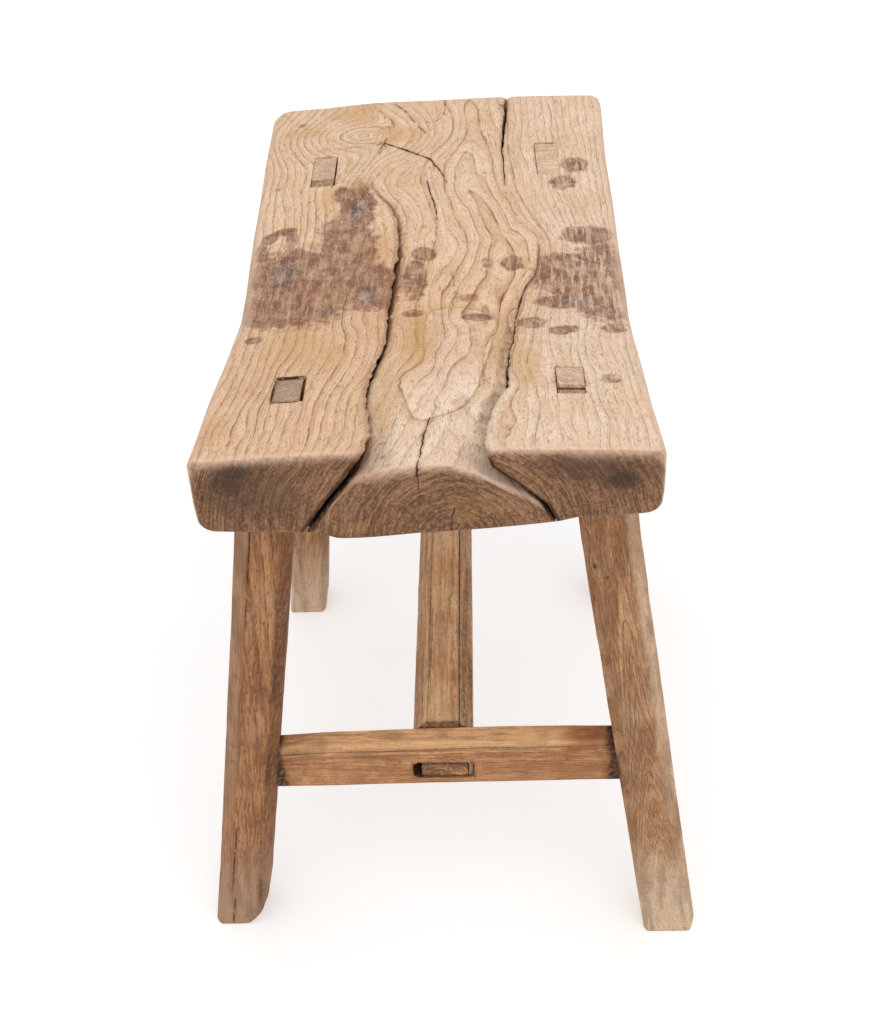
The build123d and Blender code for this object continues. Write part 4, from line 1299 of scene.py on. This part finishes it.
# colours, then how each wood departs from the values that they share
woodShared = {
    "poreShare": 0.6, "bump": 0.8, "wander": 1.6, "contrast": 1.5, "fibre": 1.5, "cloud": 0.4, "pits": 0.57,
    "bandShare": 0.3,
    "broken": 0.3, "thinnest": 0.3, "bleached": (1.0, 0.83, 0.66), "topDark": (0.64, 0.4, 0.25),
    "topPale": (1.0, 0.73, 0.53),
}
stripShared = {
    "ringWidth": 2.0, "waver": 0.8, "lineShare": 0.7, "bump": 0.5, "wander": 0.5, "contrast": 1.3, "fibre": 0.9,
    "cloud": 0.9,
    "pits": 0.6, "band": (0.3, 0.16, 0.08), "bandShare": 0.2,
}
woodLooks = {
    "seat": {
        "pale": (0.93, 0.65, 0.435), "mid": (0.83, 0.525, 0.32), "line": (0.27, 0.118, 0.052),
        "pore": (0.36, 0.19, 0.1),
        "dirt": (0.075, 0.032, 0.015), "worn": (0.85, 0.585, 0.42), "end": (0.47, 0.25, 0.133),
        "endLine": (0.155, 0.073, 0.037),
        "band": (0.62, 0.35, 0.165), "blush": (0.80, 0.50, 0.34), "ringWidth": 4.7, "waver": 3.0, "lineShare": 0.95,
        "poreShare": 0.35,
        "roughness": 0.82, "bump": 0.9, "wander": 2.6, "contrast": 1.25, "fibre": 1.4, "cloud": 0.8, "pits": 0.58,
        "bandShare": 0.7,
        "broken": 0.1,
    },
    "legs": {
        "pale": (0.64, 0.31, 0.138), "mid": (0.33, 0.135, 0.052), "line": (0.13, 0.05, 0.02),
        "pore": (0.13, 0.05, 0.022),
        "dirt": (0.05, 0.018, 0.009), "worn": (0.52, 0.32, 0.2), "end": (0.28, 0.155, 0.085),
        "endLine": (0.13, 0.065, 0.034),
        "band": (0.2, 0.075, 0.03), "ringWidth": 3.4, "waver": 1.6, "lineShare": 0.75, "poreShare": 0.7,
        "roughness": 0.66,
        "pits": 0.58, "bandShare": 0.25,
    },
    "paleLegs": {
        "pale": (0.74, 0.42, 0.22), "mid": (0.39, 0.183, 0.08), "line": (0.16, 0.068, 0.03), "pore": (0.2, 0.1, 0.05),
        "dirt": (0.06, 0.028, 0.015), "worn": (0.95, 0.70, 0.48), "end": (0.42, 0.28, 0.18),
        "endLine": (0.2, 0.12, 0.07),
        "band": (0.3, 0.14, 0.07), "ringWidth": 1.7, "waver": 1.4, "lineShare": 0.85, "roughness": 0.74,
    },
    "rails": {
        "pale": (0.98, 0.555, 0.27), "mid": (0.54, 0.26, 0.11), "line": (0.2, 0.08, 0.03),
        "pore": (0.17, 0.07, 0.028),
        "dirt": (0.05, 0.022, 0.012), "worn": (0.95, 0.56, 0.29), "end": (0.66, 0.34, 0.17),
        "endLine": (0.2, 0.095, 0.05),
        "band": (0.42, 0.19, 0.075), "ringWidth": 2.7, "waver": 1.8, "lineShare": 0.65, "poreShare": 0.7,
        "roughness": 0.66,
        "bump": 0.7, "wander": 1.4, "contrast": 1.75, "cloud": 0.85, "thinnest": 0.8,
    },
    "strips": {
        "pale": (0.62, 0.41, 0.25), "mid": (0.5, 0.3, 0.17), "line": (0.2, 0.1, 0.05), "pore": (0.24, 0.12, 0.06),
        "dirt": (0.05, 0.025, 0.015), "worn": (0.65, 0.44, 0.29), "end": (0.6, 0.4, 0.25),
        "endLine": (0.27, 0.15, 0.085),
        "roughness": 0.78, **stripShared,
    },
    "darkStrips": {
        "pale": (0.2, 0.1, 0.055), "mid": (0.13, 0.06, 0.032), "line": (0.05, 0.022, 0.012),
        "pore": (0.05, 0.022, 0.012),
        "dirt": (0.03, 0.013, 0.008), "worn": (0.2, 0.11, 0.06), "end": (0.17, 0.085, 0.045),
        "endLine": (0.06, 0.03, 0.016),
        "roughness": 0.8, **stripShared,
    },
}
woodLooks["longRail"] = {**woodLooks["rails"], "pale": (1.0, 0.7, 0.42), "mid": (0.78, 0.385, 0.19)}
stainColors = {
    "halo": (0.66, 0.40, 0.18), "tongue": (0.97, 0.71, 0.54), "tongueRimShade": (0.40, 0.22, 0.11),
    "stroke": (0.34, 0.17, 0.09),
    "mottle": (0.66, 0.40, 0.235), "amber": (0.66, 0.37, 0.13), "stain": (0.25, 0.1, 0.06),
    "stainPale": (0.52, 0.31, 0.21),
    "blue": (0.1, 0.066, 0.07), "bluePale": (0.3, 0.23, 0.21), "scratch": (0.6, 0.5, 0.42),
    "stainRim": (0.17, 0.07, 0.045),
    "soot": (0.05, 0.032, 0.025), "under": (0.42, 0.27, 0.17), "rust": (0.38, 0.11, 0.03),
}


def makeWood(name, lookName, seed, *pieces, paint=None):
    look = {**woodShared, **woodLooks[lookName]}
    material = bpy.data.materials.new(name)
    material.use_nodes = True
    net = Net(material.node_tree)
    shader = material.node_tree.nodes["Principled BSDF"]
    inMm = {0: net.add("TexCoord").outputs["Object"], 1: (1000, 1000, 1000)}
    where = net.add("VectorMath", inMm, operation="MULTIPLY").outputs[0]
    endGrain, topTone, bleach = (net.read(layer) for layer in ("endGrain", "topTone", "bleach"))
    rings = net.use(
        "growthRings", Place=net.read("grain"), Ring_Width=look["ringWidth"], Waver=look["waver"], Seed=seed,
        Broken=look["broken"])
    cloud, fleck = net.noise(where, 38, 3, 0.55), net.noise(where, 2.2, 3, 0.6)

    # the wood along its grain
    shade = net.timesPlus(rings["Fibres"], look["fibre"], net.times(cloud, look["cloud"]))
    shade = net.timesPlus(rings["Tone"], 0.25, shade)
    reach, centre = 0.375 / look["contrast"], (look["fibre"] + look["cloud"] + 0.25) / 2
    net.color = net.mix(net.ease(shade, centre - reach, centre + reach), look["mid"], look["pale"])
    net.lay(net.ease(cloud, 0.52, 0.72, 0, 0.35), look.get("blush", look["worn"]))
    # painted light: the seat's pale wash
    net.lay(bleach, look["bleached"], net.ease(shade, centre - 0.4, centre + 0.4, 0.35, 0.95))
    net.lay(rings["Band"], look["band"], net.timesPlus(bleach, -0.65 * look["bandShare"], look["bandShare"]))

    # across its grain, and on the tops of the tenons
    endTone = net.timesPlus(fleck, 0.8, net.timesPlus(rings["End Streaks"], 1.1, net.times(cloud, 0.5)))
    endShade = net.mix(net.ease(endTone, 0.98, 1.42), look["endLine"], look["end"])
    net.lay(endGrain, net.mix(net.times(rings["Band"], 0.45), endShade, look["endLine"]))
    net.lay(topTone, net.mix(net.ease(endTone, 0.8, 1.5), look["topDark"], look["topPale"]))

    fine = net.times(rings["Fine Lines"], net.timesPlus(endGrain, 0.6, 0.35))
    lines = net.calc("MAXIMUM", rings["Late Wood"], fine)
    lines = net.times(lines, net.timesPlus(topTone, -0.75 * look["lineShare"], look["lineShare"]))
    net.lay(lines, net.mix(endGrain, look["line"], look["endLine"]), net.timesPlus(bleach, -0.6, 1.0))
    net.lay(rings["Pores"], look["pore"], net.timesPlus(topTone, -0.6 * look["poreShare"], look["poreShare"]))
    net.height = rings["Height"]
    if paint:
        paint(net, where, rings)

    # pits and specks all over, then wear with a painted highlight on the rails, cracks, and dirt with painted shade
    net.lay(net.ease(net.noise(where, 1.3, 4, 0.75), look["pits"], look["pits"] + 0.08), look["pore"], 0.38)
    speckle = net.ease(net.noise(where, 0.9, 2, 0.6), 0.35, 0.65, 0.89, 1.1)
    grey = net.add("CombineColor", {channel: speckle for channel in range(3)}).outputs[0]
    net.color = net.mix(1.0, net.color, grey, "MULTIPLY")
    net.lay(net.read("wear"), look["worn"], net.ease(fleck, 0.25, 0.65, 0.6, 1.0))
    crack = net.use(
        "hairCrack", Distance=net.read("check"), Half_Width=net.read("checkWide"), Place=where, Wander=look["wander"],
        Thinnest=look["thinnest"])
    net.lay(crack["Rim"], look["line"], 0.3)
    net.lay(crack["Mask"], look["dirt"])
    dirt = net.times(net.read("dirt"), net.ease(net.noise(where, 4, 4, 0.6), 0.25, 0.6, 0.55, 1))
    net.lay(dirt, net.mix(net.ease(dirt, 0.3, 0.9), look["line"], look["dirt"]))
    net.raiseBy(crack["Mask"], -0.9)
    net.raiseBy(fleck, 0.18)
    rough = net.timesPlus(fleck, 0.12, net.timesPlus(rings["Late Wood"], -0.12, look["roughness"]))
    bump = net.add("Bump", {"Height": net.height, "Strength": look["bump"], "Distance": mm})
    for label, value in {
        "Base Color": net.color, "Roughness": rough, "Specular IOR Level": 0.32, "Normal": bump.outputs[0],
    }.items():
        net.plug(value, shader.inputs[label])
    for piece in pieces:
        data = bpy.data.objects[piece].data
        data.materials.clear()
        data.materials.append(material)


# ragged spots of one of the fields stored on the mesh
def raggedOf(net, where, field, softness, ragged, size):
    return net.use("raggedSpot", Field=net.read(field), Place=where, Softness=softness, Ragged=ragged, Grain_Size=size)


def paintSeat(net, where, rings):
    colors = stainColors
    across, lengthwise, _ = net.add("SeparateXYZ", {0: where}).outputs
    # tongue with its thin outline, a painted shadow of its raised rim, and an amber halo
    tongue = net.timesPlus(net.calc("SUBTRACT", net.noise(where, 9, 3, 0.6), 0.5), 5, net.read("tongue"))
    net.lay(net.ease(tongue, -9, -0.5, 0, 0.42), colors["halo"], net.ease(tongue, 0.3, 1.2, 1, 0))
    fade = net.ease(net.noise(where, 18, 2, 0.5), 0.35, 0.65)
    net.lay(net.ease(tongue, 0.2, 3.2, 0, 0.5), colors["tongue"], fade)
    outline = net.times(net.ease(tongue, -1.1, 0.0), net.ease(tongue, 0.6, 1.5, 1, 0))
    shown = net.times(net.timesPlus(fade, 0.5, 0.3), net.ease(lengthwise, -100, -60, 1, 0))
    net.lay(outline, colors["tongueRimShade"], shown)
    net.raiseBy(net.ease(tongue, -1.2, 0.8), 0.9)
    # short dark strokes along the grain, and a mottled tone
    strokes = net.ease(net.noise(net.read("grain"), 1.5, 2, 0.6, (1, 0.22, 1)), 0.6, 0.7)
    strokes = net.times(strokes, net.ease(net.noise(where, 26, 3, 0.6), 0.38, 0.6, 0.2, 0.7))
    flatTop = net.calc("SUBTRACT", 1, net.read("endGrain"))
    net.lay(strokes, colors["stroke"], flatTop)
    net.lay(net.ease(net.noise(where, 8, 4, 0.65, (1, 0.5, 1)), 0.5, 0.7, 0, 0.38), colors["mottle"], flatTop)
    # worn amber patches
    net.lay(raggedOf(net, where, "amber", 0.55, 1.8, 13.0)["Mask"], colors["amber"], 0.45)
    # old liquid stains, darker at the rim and scratched pale
    stain = raggedOf(net, where, "stain", 0.24, 1.1, 6.5)
    speck = net.ease(net.noise(where, 1.5, 3, 0.7, (1, 0.6, 1)), 0.5, 0.66)
    stainColor = net.mix(net.times(speck, 0.7), colors["stain"], colors["stainPale"])
    blue = net.times(net.ease(net.read("blue"), -0.1, 0.5), 0.85)
    stainColor = net.mix(blue, stainColor, net.mix(speck, colors["blue"], colors["bluePale"]))
    scratch = net.ease(net.noise(where, 1.2, 2, 0.6, (1, 0.12, 1)), 0.64, 0.7)
    stainColor = net.mix(net.times(scratch, 0.4), stainColor, colors["scratch"])
    # pale lines of the grain stand out of the stain, more to the right
    patchy = net.ease(net.noise(where, 11, 4, 0.65), 0.3, 0.62, 0.5, 0.95)
    hatch = net.ease(net.noise(where, 3.4, 3, 0.6, (1, 0.1, 1)), 0.47, 0.6)
    patchy = net.times(patchy, net.timesPlus(hatch, net.ease(across, 10, 80, -0.3, -0.62), 1.0))
    net.lay(stain["Mask"], stainColor, patchy)
    net.lay(stain["Rim"], colors["stainRim"], 0.32)
    # soot on the front end, and the darker underside
    soot = raggedOf(net, where, "soot", 0.5, 1.0, 9.0)["Mask"]
    soot = net.times(soot, net.ease(rings["End Streaks"], 0.35, 0.6, 0.35, 0.75))
    net.lay(soot, colors["soot"], net.ease(net.read("soot"), 0.15, 0.6, 0.85, 1.25))
    net.lay(net.read("under"), colors["under"], 0.35)


def paintRail(net, where, rings):
    net.lay(raggedOf(net, where, "stain", 0.5, 1.0, 9.0)["Mask"], stainColors["rust"], 0.7)


makeCamera()
makeStudio()
seat = makeSeatMesh()
cutMortises(seat)
weld(seat, 0.004)
dressSeat(seat)
finishPiece(seat, "seat")
print("seat made,", len(seat.data.polygons), "faces")
for legName in legValues:
    makeLeg(legName)
for stripName in stripValues:
    makeStrip(stripName)
print("legs and strips made")
makeEndRail("front", 61)
makeEndRail("back", 67)
makeLongRail()
makeSliver()
print("rails made")

makeGroup("growthRings", growthRings, {"Place": None, "Ring Width": 5.5, "Waver": 2.0, "Seed": 0.0, "Broken": 0.3})
makeGroup("hairCrack", hairCrack, {"Distance": 0.0, "Half Width": 0.0, "Place": None, "Wander": 1.6, "Thinnest": 0.3})
makeGroup("raggedSpot", raggedSpot, {"Field": 0.0, "Place": None, "Softness": 0.2, "Ragged": 0.6, "Grain Size": 7.0})
makeWood("seatWood", "seat", 3.0, "seat_plank", paint=paintSeat)
makeWood("legWood", "legs", 11.0, "leg_front_left_wood", "leg_back_right_wood")
makeWood("greyLegWood", "paleLegs", 17.0, "leg_front_right_wood", "leg_back_left_wood")
makeWood("railWood", "rails", 23.0, "stretcher_front_wood", "stretcher_back_wood", paint=paintRail)
makeWood("longRailWood", "longRail", 29.0, "stretcher_centre_wood")
paleStrips = ("shim_front_left", "shim_front_right", "shim_back_left", "wedge_back_left", "wedge_centre_rail")
makeWood("stripWood", "strips", 31.0, *(name + "_wood" for name in paleStrips))
makeWood("darkStripWood", "darkStrips", 37.0, "wedge_front_right_wood")
print("materials made")
